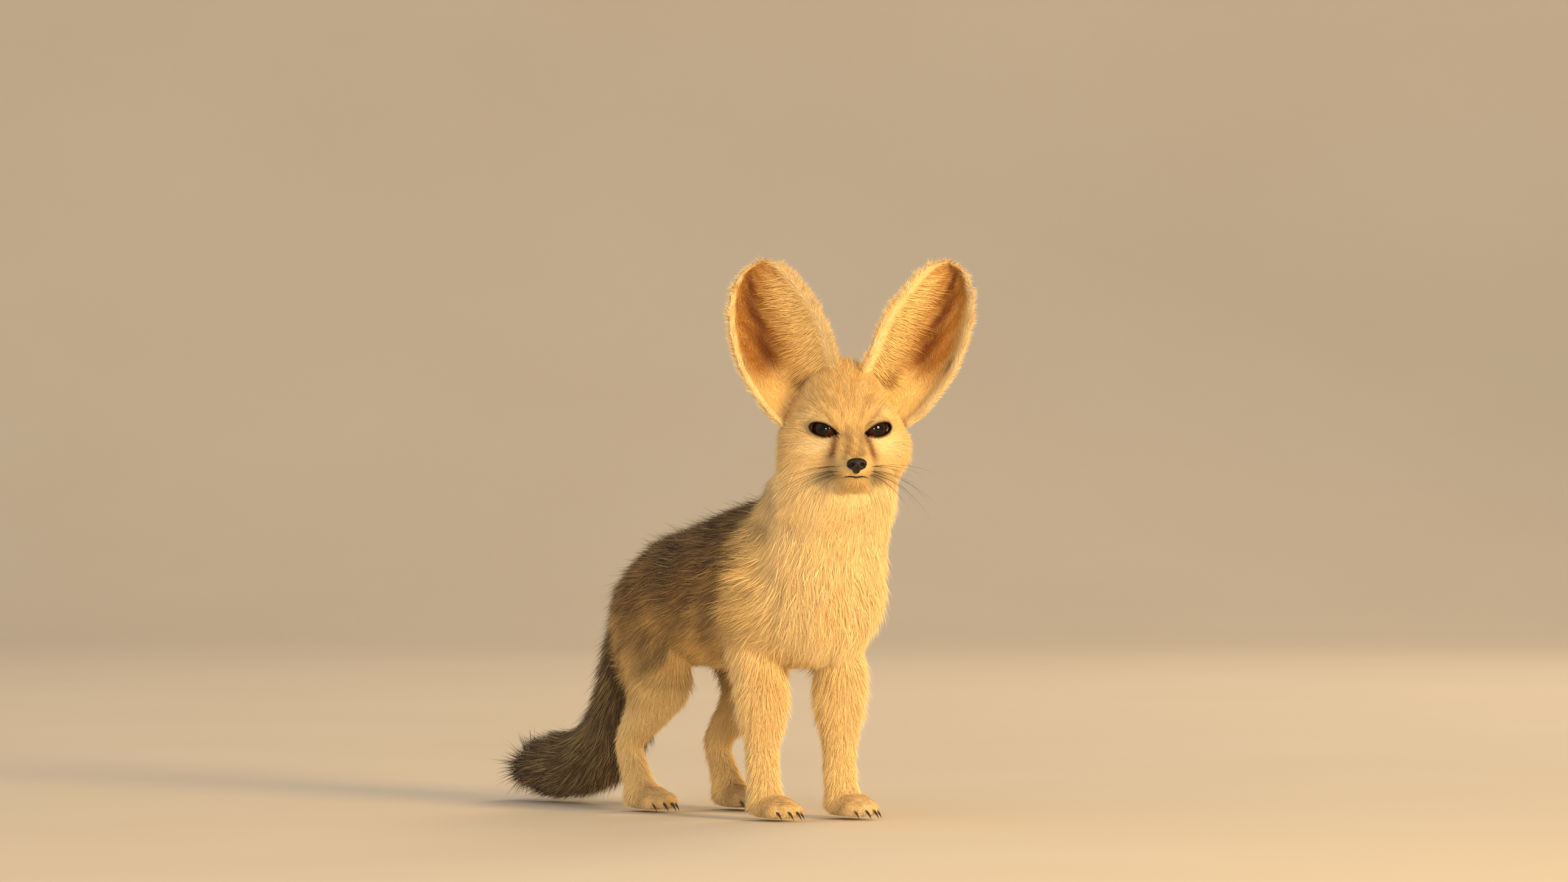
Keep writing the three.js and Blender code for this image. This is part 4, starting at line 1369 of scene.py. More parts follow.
class Finish(Nodes):
    """A material in the making, built of nodes.

    Attributes:
        material: the material.
        shader: its surface shader.
    """

    def __init__(self, name: str, roughness: float, **sockets: float) -> None:
        """Starts a material.

        Args:
            name: its name.
            roughness: its roughness.
            sockets: other values of the shader, with _ for a space.
        """
        self.material = bpy.data.materials.new(name)
        self.material.use_nodes = True
        super().__init__(self.material.node_tree)
        self.shader = self.tree.nodes["Principled BSDF"]
        self.shader.inputs["Roughness"].default_value = roughness
        for key, value in sockets.items():
            self.shader.inputs[key.replace("_", " ")].default_value = value

    def attribute(self, name: str, output: str = "Fac") -> Socket:
        """The value of the mesh's attribute."""
        return self.add("ShaderNodeAttribute", attribute_name=name).outputs[output]

    def mix(self, share: object, a: object, b: object, kind: str = "MIX") -> Socket:
        """Two colours mixed."""
        joins = (0, share), (6, a), (7, b)
        return self.add("ShaderNodeMix", *joins, data_type="RGBA", blend_type=kind).outputs[2]

    def noise(self, scale: float, detail: float = 4.0) -> Socket:
        """Noise on object coordinates."""
        place = self.add("ShaderNodeTexCoord").outputs["Object"]
        joins = ("Vector", place), ("Scale", scale), ("Detail", detail)
        return self.add("ShaderNodeTexNoise", *joins).outputs[0]

    def steps(self, value: Socket, stops: Sequence[tuple[float, Colour]]) -> Socket:
        """A colour read along stops."""
        made = self.add("ShaderNodeValToRGB", ("Fac", value))
        band = made.color_ramp.elements
        while len(band) < len(stops):
            band.new(0.5)
        for element, (at, colour) in zip(band, stops):
            element.position, element.color = at, colour
        return made.outputs[0]

    def paint(self, colour: Socket) -> None:
        """Joins the base colour."""
        self.tree.links.new(colour, self.shader.inputs["Base Color"])

    def bump(self, height: Socket, strength: float, distance: float) -> None:
        """Raises the surface by a height."""
        made = self.add("ShaderNodeBump", ("Height", height), ("Strength", strength), ("Distance", distance))
        self.tree.links.new(made.outputs[0], self.shader.inputs["Normal"])


@dataclass(frozen=True)
class FurFinish:
    """Hair coloured by the bed's markings, dark at most tips and pale at a few where they say so.

    Attributes:
        root: how dark the roots are beside the coat.
        spread: how much one tuft's brightness differs from the next.
        roughness: the hair's roughness.
        sheen: the soft light at its edges.
        pale: how pale the tips of the few pale-tipped tufts are.
    """

    root: float = 0.82
    spread: float = 0.3
    roughness: float = 0.62
    sheen: float = 0.04
    pale: float = 0.6

    def build(self) -> Material:
        """Builds the material."""
        made = Finish(
            "fur", self.roughness, Sheen_Weight=self.sheen, Sheen_Roughness=0.45, Specular_IOR_Level=0.25,
        )
        along = made.attribute("along")
        coat = made.attribute("coat", "Color")
        root = made.steps(along, [(0.0, (self.root,) * 3 + (1.0,)), (0.5, (1.0, 1.0, 1.0, 1.0))])
        colour = made.mix(1.0, coat, root, "MULTIPLY")
        tipped = made.steps(along, [(0.42, (0.0, 0.0, 0.0, 1.0)), (0.85, (1.0, 1.0, 1.0, 1.0))])
        for kind, bound, tone, *weaker in (
            ("LESS_THAN", 0.62, Tone.DARK), ("GREATER_THAN", 0.8, Tone.CREAM, self.pale),
        ):
            chance = made.math(kind, made.attribute("tone"), bound)
            colour = made.mix(made.times(tipped, made.attribute("dark"), chance, *weaker), colour, tone)
        bright = made.math("MULTIPLY_ADD", made.attribute("tone"), self.spread, 1 - self.spread / 2)
        grey = made.add("ShaderNodeCombineColor", (0, bright), (1, bright), (2, bright)).outputs[0]
        made.paint(made.mix(1.0, colour, grey, "MULTIPLY"))
        return made.material


@dataclass(frozen=True)
class SkinFinish:
    """Skin under the coat, with the same markings, a little darker.

    Attributes:
        name: the material's name.
        depth: how dark the skin is beside the coat.
        roughness: the skin's roughness.
    """

    name: str = "skin"
    depth: float = 0.8
    roughness: float = 0.85

    def build(self) -> Material:
        """Builds the material."""
        made = Finish(self.name, self.roughness, Specular_IOR_Level=0.25)
        coat = made.attribute("coat", "Color")
        made.paint(made.mix(1.0, coat, (self.depth, self.depth * 0.97, self.depth * 0.93, 1.0), "MULTIPLY"))
        made.bump(made.noise(900.0), 0.35, 0.0006)
        return made.material


@dataclass(frozen=True)
class EyeFinish:
    """A wet dark eye: black pupil, dark brown iris and a black rim, by the distance from its axis."""

    def build(self) -> Material:
        """Builds the material."""
        made = Finish("eye", 0.05, Specular_IOR_Level=0.3)
        stops = [
            (0.0, shade("060302")), (0.26, shade("0b0503")), (0.38, shade("2c1407")),
            (0.62, shade("3f1d0a")), (0.76, shade("1f0e06")), (1.0, shade("0f0704")),
        ]
        made.paint(made.steps(made.attribute("ring"), stops))
        return made.material


@dataclass(frozen=True)
class BareFinish:
    """Bare dark skin, as on the nose, the lids' edges and the lips, or horn.

    Attributes:
        name: the material's name.
        colour: the skin's colour.
        worn: the colour of its raised grain.
        roughness: its roughness.
        grain: the fineness of its grain.
        relief: the height of its grain.
    """

    name: str
    colour: Colour
    worn: Colour
    roughness: float = 0.42
    grain: float = 1500.0
    relief: float = 0.0004

    def build(self) -> Material:
        """Builds the material."""
        made = Finish(self.name, self.roughness, Specular_IOR_Level=0.5)
        place = made.add("ShaderNodeTexCoord").outputs["Object"]
        joins = ("Vector", place), ("Scale", self.grain)
        cells = made.add("ShaderNodeTexVoronoi", *joins).outputs["Distance"]
        made.paint(made.mix(cells, self.colour, self.worn))
        made.bump(cells, 0.5, self.relief)
        return made.material


@dataclass(frozen=True)
class HairFinish:
    """Long stiff hair of one colour, paler in patches of noise.

    Attributes:
        name: the material's name.
        colour: the hair's colour.
    """

    name: str
    colour: Colour

    def build(self) -> Material:
        """Builds the material."""
        made = Finish(self.name, 0.45, Specular_IOR_Level=0.4)
        made.paint(made.mix(made.noise(300.0), self.colour, tuple(min(1.0, c * 2.2) for c in self.colour)))
        return made.material


@dataclass
class Sided:
    """What the fox has on both sides.

    Attributes:
        side: 1 for the left one and -1 for the right.
    """

    side: int

    def name(self, kind: str) -> str:
        """A piece's name with its side."""
        return f"{kind}_{'left' if self.side > 0 else 'right'}"


@dataclass
class Eye(Sided):
    """An eyeball with its lids.

    Attributes:
        sizes: the eye's sizes.
        rings: for each ring of the lids, how far it lies outside the edge and its height over the lid's egg.
        egg: the lid's egg: its reach across, up and ahead.
        swell: how far the eyeball swells over the iris.
        rim: how far from the eye's axis its colours end, in radians.
    """

    sizes: EyeSizes = EYES
    rings: tuple[tuple[float, float], ...] = (
        (-0.15, -3.6), (-0.12, -1.1), (0.0, -0.35), (0.3, -0.1), (0.7, -0.1), (1.5, -0.3), (2.8, -0.9),
        (4.2, -1.6), (5.6, -3.0),
    )
    egg: Place = (13.0, 11.0, 9.2)
    swell: float = 0.35
    rim: float = 1.25

    def ball(self, finish: Material) -> Thing:
        """Makes the eyeball, with a slight swelling over the iris.

        Args:
            finish: the eye's material.

        Returns:
            The eyeball's object.
        """
        rows, sides = 40, 56
        polar = np.linspace(0, math.pi, rows + 1)[1:-1]
        turn = np.linspace(0, 2 * math.pi, sides, endpoint=False)
        p, a = np.repeat(polar, sides), np.tile(turn, len(polar))
        local = np.stack([np.sin(p) * np.cos(a), np.sin(p) * np.sin(a), np.cos(p)], 1)
        local = np.vstack([local, [[0, 0, 1], [0, 0, -1]]])
        angle = np.arccos(np.clip(local[:, 2], -1, 1))
        swell = self.swell * (1 - ramp(angle, 0.45, 0.95))
        points = self.sizes.out_of_local(local * (self.sizes.radius - 0.2 + swell)[:, None], self.side)
        faces = []
        for j in range(sides):
            k = (j + 1) % sides
            last = (len(polar) - 1) * sides
            faces += [(len(points) - 2, j, k), (len(points) - 1, last + k, last + j)]
            faces += [(r + j, r + sides + j, r + sides + k, r + k) for r in range(0, last, sides)]
        if self.side < 0:
            faces = [tuple(reversed(f)) for f in faces]
        made = mesh_object(self.name("eye_ball"), HEAD.to_body(points), faces, finish)
        store(made.data, "ring", np.clip(angle / self.rim, 0, 1))
        return made

    def lids(self, markings: Markings, finish: Material) -> Thing:
        """Makes the lids as a closed ring round the opening, dark at its edge.

        Args:
            markings: the coat's fields, which go on over the lids.
            finish: the lids' material.

        Returns:
            The lids' object.
        """
        edge = self.sizes.edge()
        away = unit(edge)
        rows = []
        for beyond, height in self.rings:
            flat = edge + away * beyond
            egg = 1 - (flat[:, 0] / self.egg[0]) ** 2 - (flat[:, 1] / self.egg[1]) ** 2
            depth = self.egg[2] * np.sqrt(np.maximum(egg, 0.03)) + height
            rows.append(np.column_stack([flat, depth]))
        inner = rows[-1].copy()
        inner[:, 2] = -1.0
        rows.append(inner)
        points = HEAD.to_body(self.sizes.out_of_local(np.vstack(rows), self.side))
        count, n = len(rows), len(edge)
        faces = []
        for i in range(count):
            for j in range(n):
                k, up = (j + 1) % n, (i + 1) % count
                face = (i * n + j, i * n + k, up * n + k, up * n + j)
                faces.append(face if self.side < 0 else tuple(reversed(face)))
        made = mesh_object(self.name("lids"), points, faces, finish)
        fields = markings.fields(places(made.data))
        beyond = np.repeat([b for b, _ in self.rings] + [9.0], n)
        fields.coat = mixed(fields.coat, Tone.RIM, 1 - ramp(beyond, 0.35, 0.95))
        local = self.sizes.local(HEAD.to_head(places(made.data)), self.side)
        outward = self.sizes.out_of_local(np.column_stack([unit(local[:, :2]), 0 * beyond]), self.side)
        outward = outward - self.sizes.out_of_local(np.zeros((1, 3)), self.side)
        fields.lie = unit(fields.lie + 0.6 * outward @ HEAD.matrix().T)
        fields.long = 1.8 + 0.7 * np.clip(beyond, 0, 5)
        fields.lift, fields.wide = 0.5 + 0.1 * beyond, 0.34 + 0 * beyond
        fields.thick = ramp(beyond, 0.2, 0.8) * (beyond < 8)
        fields.onto(made.data)
        store(made.data, "part", beyond)
        return made


@dataclass
class Nose:
    """The bare nose pad, with its nostrils and the groove between them.

    Attributes:
        at: the pad's middle in the head's frame.
        voxel: the fineness of its surface.
    """

    at: Place = (42.8, 0.0, -20.5)
    voxel: float = 0.28

    def build(self, finish: Material) -> Thing:
        """Makes the nose.

        Args:
            finish: its material.

        Returns:
            The nose's object.
        """
        x, y, z = self.at
        pad = Form(
            [(x - 1.5, y, z, 5.6, 3.3, 3.4), (x + 1, y, z + 0.2, 6.0, 3.6, 3.9)],
            (3.4, 3.5), 0, square=2.3, upright=True, in_head=True,
        )
        stem = Form(
            [(x - 2, y, z - 2.9, 2.6, 2, 3.0), (x + 0.8, y, z - 2.7, 2.2, 2, 2.7)],
            (2, 2.6), 0, upright=True, in_head=True,
        )
        forms = joined(form.shell(12, 40) for form in (pad, stem))
        made = wrapped(mesh_object("nose_pad", *forms, finish), self.voxel)
        self.carve(made.data)
        return made

    def carve(self, mesh: Mesh) -> None:
        """Softens the pad and sinks the nostrils and the groove into it."""
        points = places(mesh)
        points = relaxed(mesh, points, np.full(len(points), 0.6), 7)
        head = HEAD.to_head(points)
        x, y, z = head.T
        front = ramp(x, self.at[0] - 1.5, self.at[0] + 0.8)
        wide = np.abs(y)
        low = z - self.at[2]
        slit = np.hypot((wide - 3.1) / 1.35, (low + 0.3 + 0.35 * (wide - 3.1)) / 0.95)
        tail = np.hypot((wide - 4.9) / 1.3, (low + 1.2) / 0.5)
        pit = np.exp(-np.minimum(slit, tail) ** 2 * 1.1)
        groove = bell(y / 0.42) * ramp(-low, 0.2, 1.6)
        head[:, 0] -= front * (2.3 * pit + 0.75 * groove)
        move_to(mesh, HEAD.to_body(relaxed(mesh, head, np.full(len(head), 0.35), 2)))


@dataclass
class Lips:
    """The dark line of the closed mouth.

    Attributes:
        line: places along its left half in the head's frame, from the middle back to the corner.
        radius: the line's half thickness at the middle.
    """

    line: tuple[Place, ...] = (
        (42.3, 0, -28.2), (41.4, 2.4, -27.9), (39.4, 4.6, -27.9), (36.4, 6.6, -28.3), (32.0, 8.9, -29.0),
    )
    radius: float = 0.55

    def build(self, finish: Material) -> Thing:
        """Makes the lips' line.

        Args:
            finish: its material.

        Returns:
            The line's object.
        """
        left = np.array(self.line)
        path = np.vstack([left[:0:-1] * [1, -1, 1], left])
        t = np.linspace(0, 1, 81)
        centre = smooth_curve(path, t)
        radius = self.radius * (0.25 + 0.75 * np.sin(math.pi * t) ** 1.5)
        points, faces = swept(centre, radius, 8)
        return mesh_object("lips", HEAD.to_body(points), faces, finish)


def swept(centre: Array, radius: Array, sides: int) -> tuple[Array, Faces]:
    """A closed tube along a line.

    Args:
        centre: the line's places.
        radius: the tube's radius at each.
        sides: points in each ring.

    Returns:
        Its points and faces.
    """
    ahead = unit(np.gradient(centre, axis=0))
    side = unit(np.cross(ahead, [0.05, 0.02, 1.0]))
    over = np.cross(side, ahead)
    angle = np.linspace(0, 2 * math.pi, sides, endpoint=False)
    ring = np.cos(angle)[None, :, None] * side[:, None] + np.sin(angle)[None, :, None] * over[:, None]
    points = (centre[:, None] + ring * radius[:, None, None]).reshape(-1, 3)
    faces: Faces = [tuple(range(sides)), tuple(range(len(points) - 1, len(points) - 1 - sides, -1))]
    for row in range(0, len(points) - sides, sides):
        for j in range(sides):
            k = (j + 1) % sides
            faces.append((row + j, row + sides + j, row + sides + k, row + k))
    return points, faces


@dataclass
class Whiskers:
    """The long dark hairs of the muzzle and over the eyes.

    Attributes:
        rows: for each row of roots on a whisker pad, its height and how many.
        longest: the longest hair's length.
        radius: a hair's radius at the root.
    """

    rows: tuple[tuple[float, int], ...] = ((-22.0, 4), (-24.4, 5), (-26.4, 4))
    longest: float = 50.0
    radius: float = 0.11

    def hairs(self) -> list[tuple[Array, float]]:
        """The centre line of each hair in the head's frame, with its radius at the root."""
        random = np.random.default_rng(7)
        made = []
        t = np.linspace(0, 1, 14)[:, None]
        for side in (-1, 1):
            for row, (height, count) in enumerate(self.rows):
                for n in range(count):
                    share = n / (count - 1)
                    root = np.array([36.0 - 9 * share, 6.8 + 4.2 * share, height])
                    length = self.longest * (0.6 + 0.4 * share) * random.uniform(0.8, 1.05)
                    way = np.array([0.15 - 0.35 * share, 1.0, 0.1 - 0.17 * row])
                    way = unit(way + random.normal(0, 0.07, 3))
                    droop = np.array([-0.34, -0.12, -0.26 - 0.1 * row]) * random.uniform(0.7, 1.2)
                    line = root + (way * t + droop * t * t) * length
                    made.append((line * [1, side, 1], self.radius))
            for n in range(4):
                root = np.array([14.5 - 1.2 * n, 9.0 + 3.0 * n, 10.5 + 0.4 * n])
                way = unit(np.array([0.5, 0.35 + 0.12 * n, 0.9]) + random.normal(0, 0.08, 3))
                line = root + (way * t + np.array([-0.35, 0.1, -0.1]) * t * t) * 19
                made.append((line * [1, side, 1], self.radius * 0.7))
        return made

    def build(self, finish: Material) -> Thing:
        """Makes the whiskers, swept along their lines by a node tree.

        Args:
            finish: their material.

        Returns:
            The whiskers' object.
        """
        points, edges, radius = [], [], []
        for line, thick in self.hairs():
            start = sum(map(len, points))
            points.append(line)
            edges += [(start + i, start + i + 1) for i in range(len(line) - 1)]
            radius.append(thick * (1 - np.linspace(0, 1, len(line)) ** 1.6 * 0.9))
        made = mesh_object("whiskers", HEAD.to_body(np.vstack(points)), [], edges=edges)
        store(made.data, "radius", np.concatenate(radius) / METRE)
        return self.tree().fit(made, {"Finish": finish})

    def tree(self) -> Tree:
        """The tree that sweeps a round hair along each line."""
        made = Tree("whiskers", [("Sides", "Int", 5), ("Finish", "Material", None)])
        line = made.add("GeometryNodeMeshToCurve", ("Mesh", made.given["Geometry"])).outputs[0]
        radius = made.named("radius", "FLOAT")
        sized = made.add("GeometryNodeSetCurveRadius", ("Curve", line), ("Radius", radius)).outputs[0]
        ring = made.add(
            "GeometryNodeCurvePrimitiveCircle", ("Resolution", made.given["Sides"]), ("Radius", 1.0),
        ).outputs[0]
        tube = made.add(
            "GeometryNodeCurveToMesh", ("Curve", sized), ("Profile Curve", ring), ("Fill Caps", True),
            ("Scale", radius),
        )
        made.finish(made.add("GeometryNodeRealizeInstances", ("Geometry", tube.outputs[0])).outputs[0])
        return made


@dataclass
class Claws:
    """The claws of the four paws.

    Attributes:
        flesh: the forms that say where the toes are.
        length: a claw's length.
        radius: its radius at the root.
        ahead: how far before the toe's middle it is rooted.
    """

    flesh: Flesh
    length: float = 8.0
    radius: float = 1.15
    ahead: float = 3.2

    def build(self, finish: Material) -> Thing:
        """Makes all the claws as one object.

        Args:
            finish: their material.

        Returns:
            The claws' object.
        """
        t = np.linspace(0, 1, 9)
        bend = np.stack([t * self.length * 0.86, 0 * t, 6.0 + 0.8 * t - 5.6 * t**1.8], 1)
        width = self.radius * (1 - t**1.5 * 0.93)
        paws, toes = self.flesh.paws(), self.flesh.toes
        roots = [(x + ahead + self.ahead, y + across, 0) for x, y in paws for across, ahead in toes]
        return mesh_object("claws", *joined(swept(bend + root, width, 8) for root in roots), finish)


@dataclass
class Ear(Sided):
    """A great cupped ear, with its fur.

    Attributes:
        inner: the ear's inner edge, up from its root, in the head's frame.
        outer: its outer edge.
        depth: the cup's depth from the root to the tip.
        back: the way that the cup sinks.
        lowest: where across the ear the cup is deepest, from -1 at the inner edge to 1.
        rows: rows of points up the ear.
        columns: points across it.
    """

    inner: tuple[Place, ...] = (
        (0, 6, 33), (1, 10.5, 45), (-3, 18.5, 66), (-8, 31, 84), (-13, 44, 96.5), (-16, 56, 100.5),
    )
    outer: tuple[Place, ...] = (
        (-4, 37, 1), (-6, 52, 16), (-9, 65, 36), (-13, 71.5, 56), (-16, 73, 75), (-17, 68, 92),
        (-16, 56, 100.5),
    )
    depth: tuple[float, ...] = (17, 20, 18, 14, 8, 1)
    back: Place = (-0.97, 0.2, -0.1)
    lowest: float = 0.16
    rows: int = 72
    columns: int = 56

    def grid(self) -> tuple[Array, Array, Array, Array]:
        """The ear's inner face.

        Returns:
            The points in the head's frame before the lean, with each one's place up, across and wall.
        """
        t = 1 - (1 - np.linspace(0, 1, self.rows)) ** 1.15
        v = -np.cos(np.linspace(0, math.pi, self.columns))
        tt, vv = np.repeat(t, self.columns), np.tile(v, self.rows)
        skew = (vv - self.lowest) / np.where(vv < self.lowest, 1 + self.lowest, 1 - self.lowest)
        cup = np.interp(tt * (len(self.depth) - 1), np.arange(len(self.depth)), self.depth)
        cup = cup * (1 - skew**2) ** 0.75 * (0.45 + 0.55 * ramp(1 - np.abs(skew), 0.0, 0.3))
        inner, outer = smooth_curve(self.inner, tt), smooth_curve(self.outer, tt)
        points = inner + (outer - inner) * ((vv + 1) / 2)[:, None]
        ridge = 0.7 * bell((vv + 0.6) / 0.08) * ramp(tt, 0.05, 0.2) * (1 - ramp(tt, 0.6, 0.85))
        crease = 1.4 * bell((vv - 0.14 - 0.1 * (tt - 0.4)) / 0.14) * (1 - ramp(tt, 0.7, 0.9))
        wall = 1.5 + 1.4 * (1 - np.abs(vv) ** 4) * (1 - tt) ** 0.5
        return points + unit(self.back) * (cup - ridge + crease)[:, None], tt, vv, wall

    def shell(self, finish: Material) -> Thing:
        """Makes the bare ear, with its colours and the fields of its fur.

        Args:
            finish: the ear's material.

        Returns:
            The ear.
        """
        points, t, v, wall = self.grid()
        behind = points + unit(self.back) * wall[:, None]
        layer = len(points)
        both = HEAD.leaned(np.vstack([points, behind]) * [1, self.side, 1])
        faces = []
        for i in range(self.rows - 1):
            for j in range(self.columns - 1):
                a, b = i * self.columns + j, i * self.columns + j + 1
                c, d = b + self.columns, a + self.columns
                faces += [(a, b, c, d), (a + layer, d + layer, c + layer, b + layer)]
            e, g = i * self.columns, i * self.columns + self.columns - 1
            faces.append((e, e + self.columns, e + self.columns + layer, e + layer))
            faces.append((g + layer, g + self.columns + layer, g + self.columns, g))
        top = (self.rows - 1) * self.columns
        for j in range(self.columns - 1):
            faces.append((j + layer, j + 1 + layer, j + 1, j))
            faces.append((top + j, top + j + 1, top + j + 1 + layer, top + j + layer))
        if self.side < 0:
            faces = [tuple(reversed(f)) for f in faces]
        made = mesh_object(self.name("ear_shell"), HEAD.to_body(both), faces, finish)
        self.mark(made.data, np.tile(t, 2), np.tile(v, 2), np.repeat([0.0, 1.0], layer))
        return made

    def colours(self, t: Array, v: Array, rim: Array) -> Array:
        """The colours of the ear's inside: a pale rim and fringe, golden brown above, and a dark crease that
        is partly its own colour and partly painted shade.

        Args:
            t: each point's place up the ear.
            v: its place across.
            rim: how much of the rim it is.

        Returns:
            One colour for each point.
        """
        w = (1 - v) / 2
        crease_at = 0.45 - 0.08 * (t - 0.4)
        flecks = drift(np.stack([w * 60, t * 110, 0 * t], 1), 2.4, 41)[:, 0]
        outer = ramp(w, 0.06, 0.2) * (1 - ramp(w, 0.66, 0.84)) * ramp(t, 0.16, 0.32)
        top = ramp(t, 0.6, 0.86) * (1 - ramp(w, 0.8, 0.96))
        pink = bell((w - 0.3) / 0.1) * ramp(t, 0.2, 0.34) * (1 - ramp(t, 0.55, 0.75))
        # The crease's darkness is partly the ear's own colour and partly painted shade in the fold of the
        # cup.
        crease = bell((w - crease_at) / 0.13) * ramp(t, 0.2, 0.34) * (1 - ramp(t, 0.78, 0.96))
        line = bell((w - 0.86) / 0.035) * ramp(t, 0.15, 0.3) * (1 - ramp(t, 0.75, 0.9))
        return layered(
            Tone.CREAM,
            (Tone.EAR_TAN, np.clip(0.8 + 0.15 * flecks, 0, 1) * outer),
            (Tone.EAR_TAN, np.clip(0.75 + 0.2 * flecks, 0, 1) * top),
            (Tone.EAR_PINK, 0.4 * pink),
            (Tone.TEAR, np.clip(0.85 + 0.15 * flecks, 0, 1) * crease),
            (Tone.EAR_PINK, 0.65 * line),
            (Tone.BROWN, 0.95 * bell((t - 0.13) / 0.06, (w - 0.68) / 0.1)),
            # A small dark spot near the outer edge, a third of the way up: painted shade in the ear's slit
            # pocket.
            (Tone.TEAR, 0.7 * bell((w - 0.1) / 0.03, (t - 0.33) / 0.04)),
            (Tone.WHITE, 0.85 * rim),
        )

    def mark(self, mesh: Mesh, t: Array, v: Array, behind: Array) -> None:
        """Stores the ear's colours and how its fur grows.

        Args:
            mesh: the ear's mesh.
            t: each point's place up the ear.
            v: its place across.
            behind: 1 on the ear's back.
        """
        w = (1 - v) / 2
        rim = np.maximum.reduce([1 - ramp(w, 0.03, 0.1), ramp(w, 0.9, 0.97), ramp(t, 0.94, 0.99)])
        rear = layered(Tone.SAND, (Tone.BROWN, 0.25 * (1 - rim)), (Tone.CREAM, rim))
        colour = mixed(self.colours(t, v, rim), rear, behind)
        across, up = self.ways()
        edge = np.maximum(1 - ramp(w, 0.0, 0.1), ramp(w, 0.92, 1.0)) * np.sign(v)
        way = np.outer(0.55 + 0 * t, up) + np.outer(0.9 * edge, across)
        way += np.outer(0.9 * ramp(w, 0.45, 0.6) * (1 - rim) * (1 - behind), across)
        way += up * (ramp(t, 0.9, 0.98) * 0.8)[:, None]
        hair = Fields(
            unit(way) @ HEAD.matrix().T, 3.4 + 0.6 * rim + 1.5 * behind, 0.8 + 0.5 * rim + 0.3 * behind,
            0.44 - 0.06 * rim, 0.7 + 0.9 * rim + 0.3 * behind * (1 - rim), colour,
            0.2 * behind * (1 - rim), behind,
        )
        hair.lie = unit(hair.lie + 0.18 * drift(places(mesh), 3.0, 51))
        hair.onto(mesh)
        for name, value in (("up", t), ("across", w), ("part", behind)):
            store(mesh, name, value)

    def ways(self) -> tuple[Array, Array]:
        """The ways across the ear to its outer edge, and up it, in the head's frame."""
        across = unit(np.subtract(self.outer[3], self.inner[2])) * [1, self.side, 1]
        return across, unit(np.subtract(self.inner[3], self.inner[1])) * [1, self.side, 1]

    def fringe(self, bed: Thing) -> None:
        """Turns the fields of a bed on the ear's inside into those of the long pale hair that crosses it."""
        t, w = stored(bed.data, "up"), stored(bed.data, "across")
        across, up = self.ways()
        found = places(bed.data)
        way = across + np.outer(0.5 - 0.9 * t, -up)
        notch = bell((t - 0.13) / 0.05, (w - 0.66) / 0.12)
        colour = layered(
            Tone.CREAM, (Tone.EAR_TAN, 0.6 * (1 - ramp(w, 0.64, 0.9))), (Tone.BROWN, 0.85 * notch),
        )
        thick = ramp(w, 0.62, 0.78) * (1 - ramp(w, 0.9, 0.96)) * ramp(t, 0.06, 0.14)
        thick *= 1 - ramp(t, 0.58, 0.82)
        hair = Fields(
            unit(unit(way) @ HEAD.matrix().T + 0.1 * drift(found, 4.0, 21)), 12 - 4.0 * t, 1.6 + 0 * t,
            0.36 + 0 * t, thick, colour, 0.0 * t, 0.0 * t,
        )
        hair.onto(bed.data)


@dataclass(frozen=True)
class Coat:
    """One piece of the coat.

    Attributes:
        name: the piece's name.
        slot: the record's material slot; not used.
        count: about how many tufts.
        parts: the parts that it grows on.
        x, y, z: between which places it grows there.
        in_head: whether those are places in the head's frame.
        kind: the kind of tuft.
        changed: values of the fur's inputs that differ from the usual ones.
    """

    name: str
    slot: str
    count: int
    parts: tuple[Part, ...]
    x: tuple[float, float] = (-FAR, FAR)
    y: tuple[float, float] = (-FAR, FAR)
    z: tuple[float, float] = (-FAR, FAR)
    in_head: bool = False
    kind: Tuft = Tuft.SPIKE
    changed: dict[str, float] = field(default_factory=dict)

    def grows(self, part: Array, points: Array) -> Array:
        """Which points it grows on, from the part that each belongs to and its place."""
        found = HEAD.to_head(points) if self.in_head else points
        chosen = np.isin(part, self.parts)
        for values, (low, high) in zip(found.T, (self.x, self.y, self.z)):
            chosen &= (values > low) & (values <= high)
        return chosen


COATS = [
    Coat("coat_face", "face_coat", 46000, (Part.HEAD,), x=(2, FAR), in_head=True),
    Coat("coat_crown", "face_coat", 30000, (Part.HEAD,), x=(-FAR, 2), in_head=True),
    Coat("coat_throat", "pale_coat", 40000, (Part.NECK,), x=(72, FAR)),
    Coat("coat_nape", "sandy_coat", 20000, (Part.NECK,), x=(-FAR, 72)),
    Coat("coat_chest", "pale_coat", 20000, (Part.TRUNK,), x=(56, FAR)),
    Coat("coat_flank_right", "sandy_coat", 36000, (Part.TRUNK,), x=(-FAR, 56), y=(-FAR, 0)),
    Coat("coat_flank_left", "sandy_coat", 36000, (Part.TRUNK,), x=(-FAR, 56), y=(0, FAR)),
    Coat("coat_thighs", "sandy_coat", 27000, (Part.THIGH,)),
    Coat("coat_forelegs", "pale_coat", 26000, (Part.FORELEG,)),
    Coat("coat_shins", "pale_coat", 20000, (Part.SHIN,)),
    Coat("coat_paws", "pale_coat", 18000, (Part.PAW,)),
    Coat("coat_tail", "dark_coat", 30000, (Part.TAIL,)),
    Coat(
        "chest_locks", "pale_coat", 1500, (Part.NECK, Part.TRUNK), x=(48, FAR), z=(106, 180), kind=Tuft.LOCK,
        changed={"Wider": 1.3, "Rise": 0.04, "Longest": 1.1, "Scatter": 0.26},
    ),
    Coat(
        "guard_hair", "sandy_coat", 2600, (Part.TRUNK, Part.NECK, Part.TAIL), x=(-FAR, 62), z=(128, FAR),
        kind=Tuft.LOCK,
        changed={"Wider": 0.5, "Rise": 0.14, "Shortest": 1.0, "Longest": 1.4, "Scatter": 0.24},
    ),
]


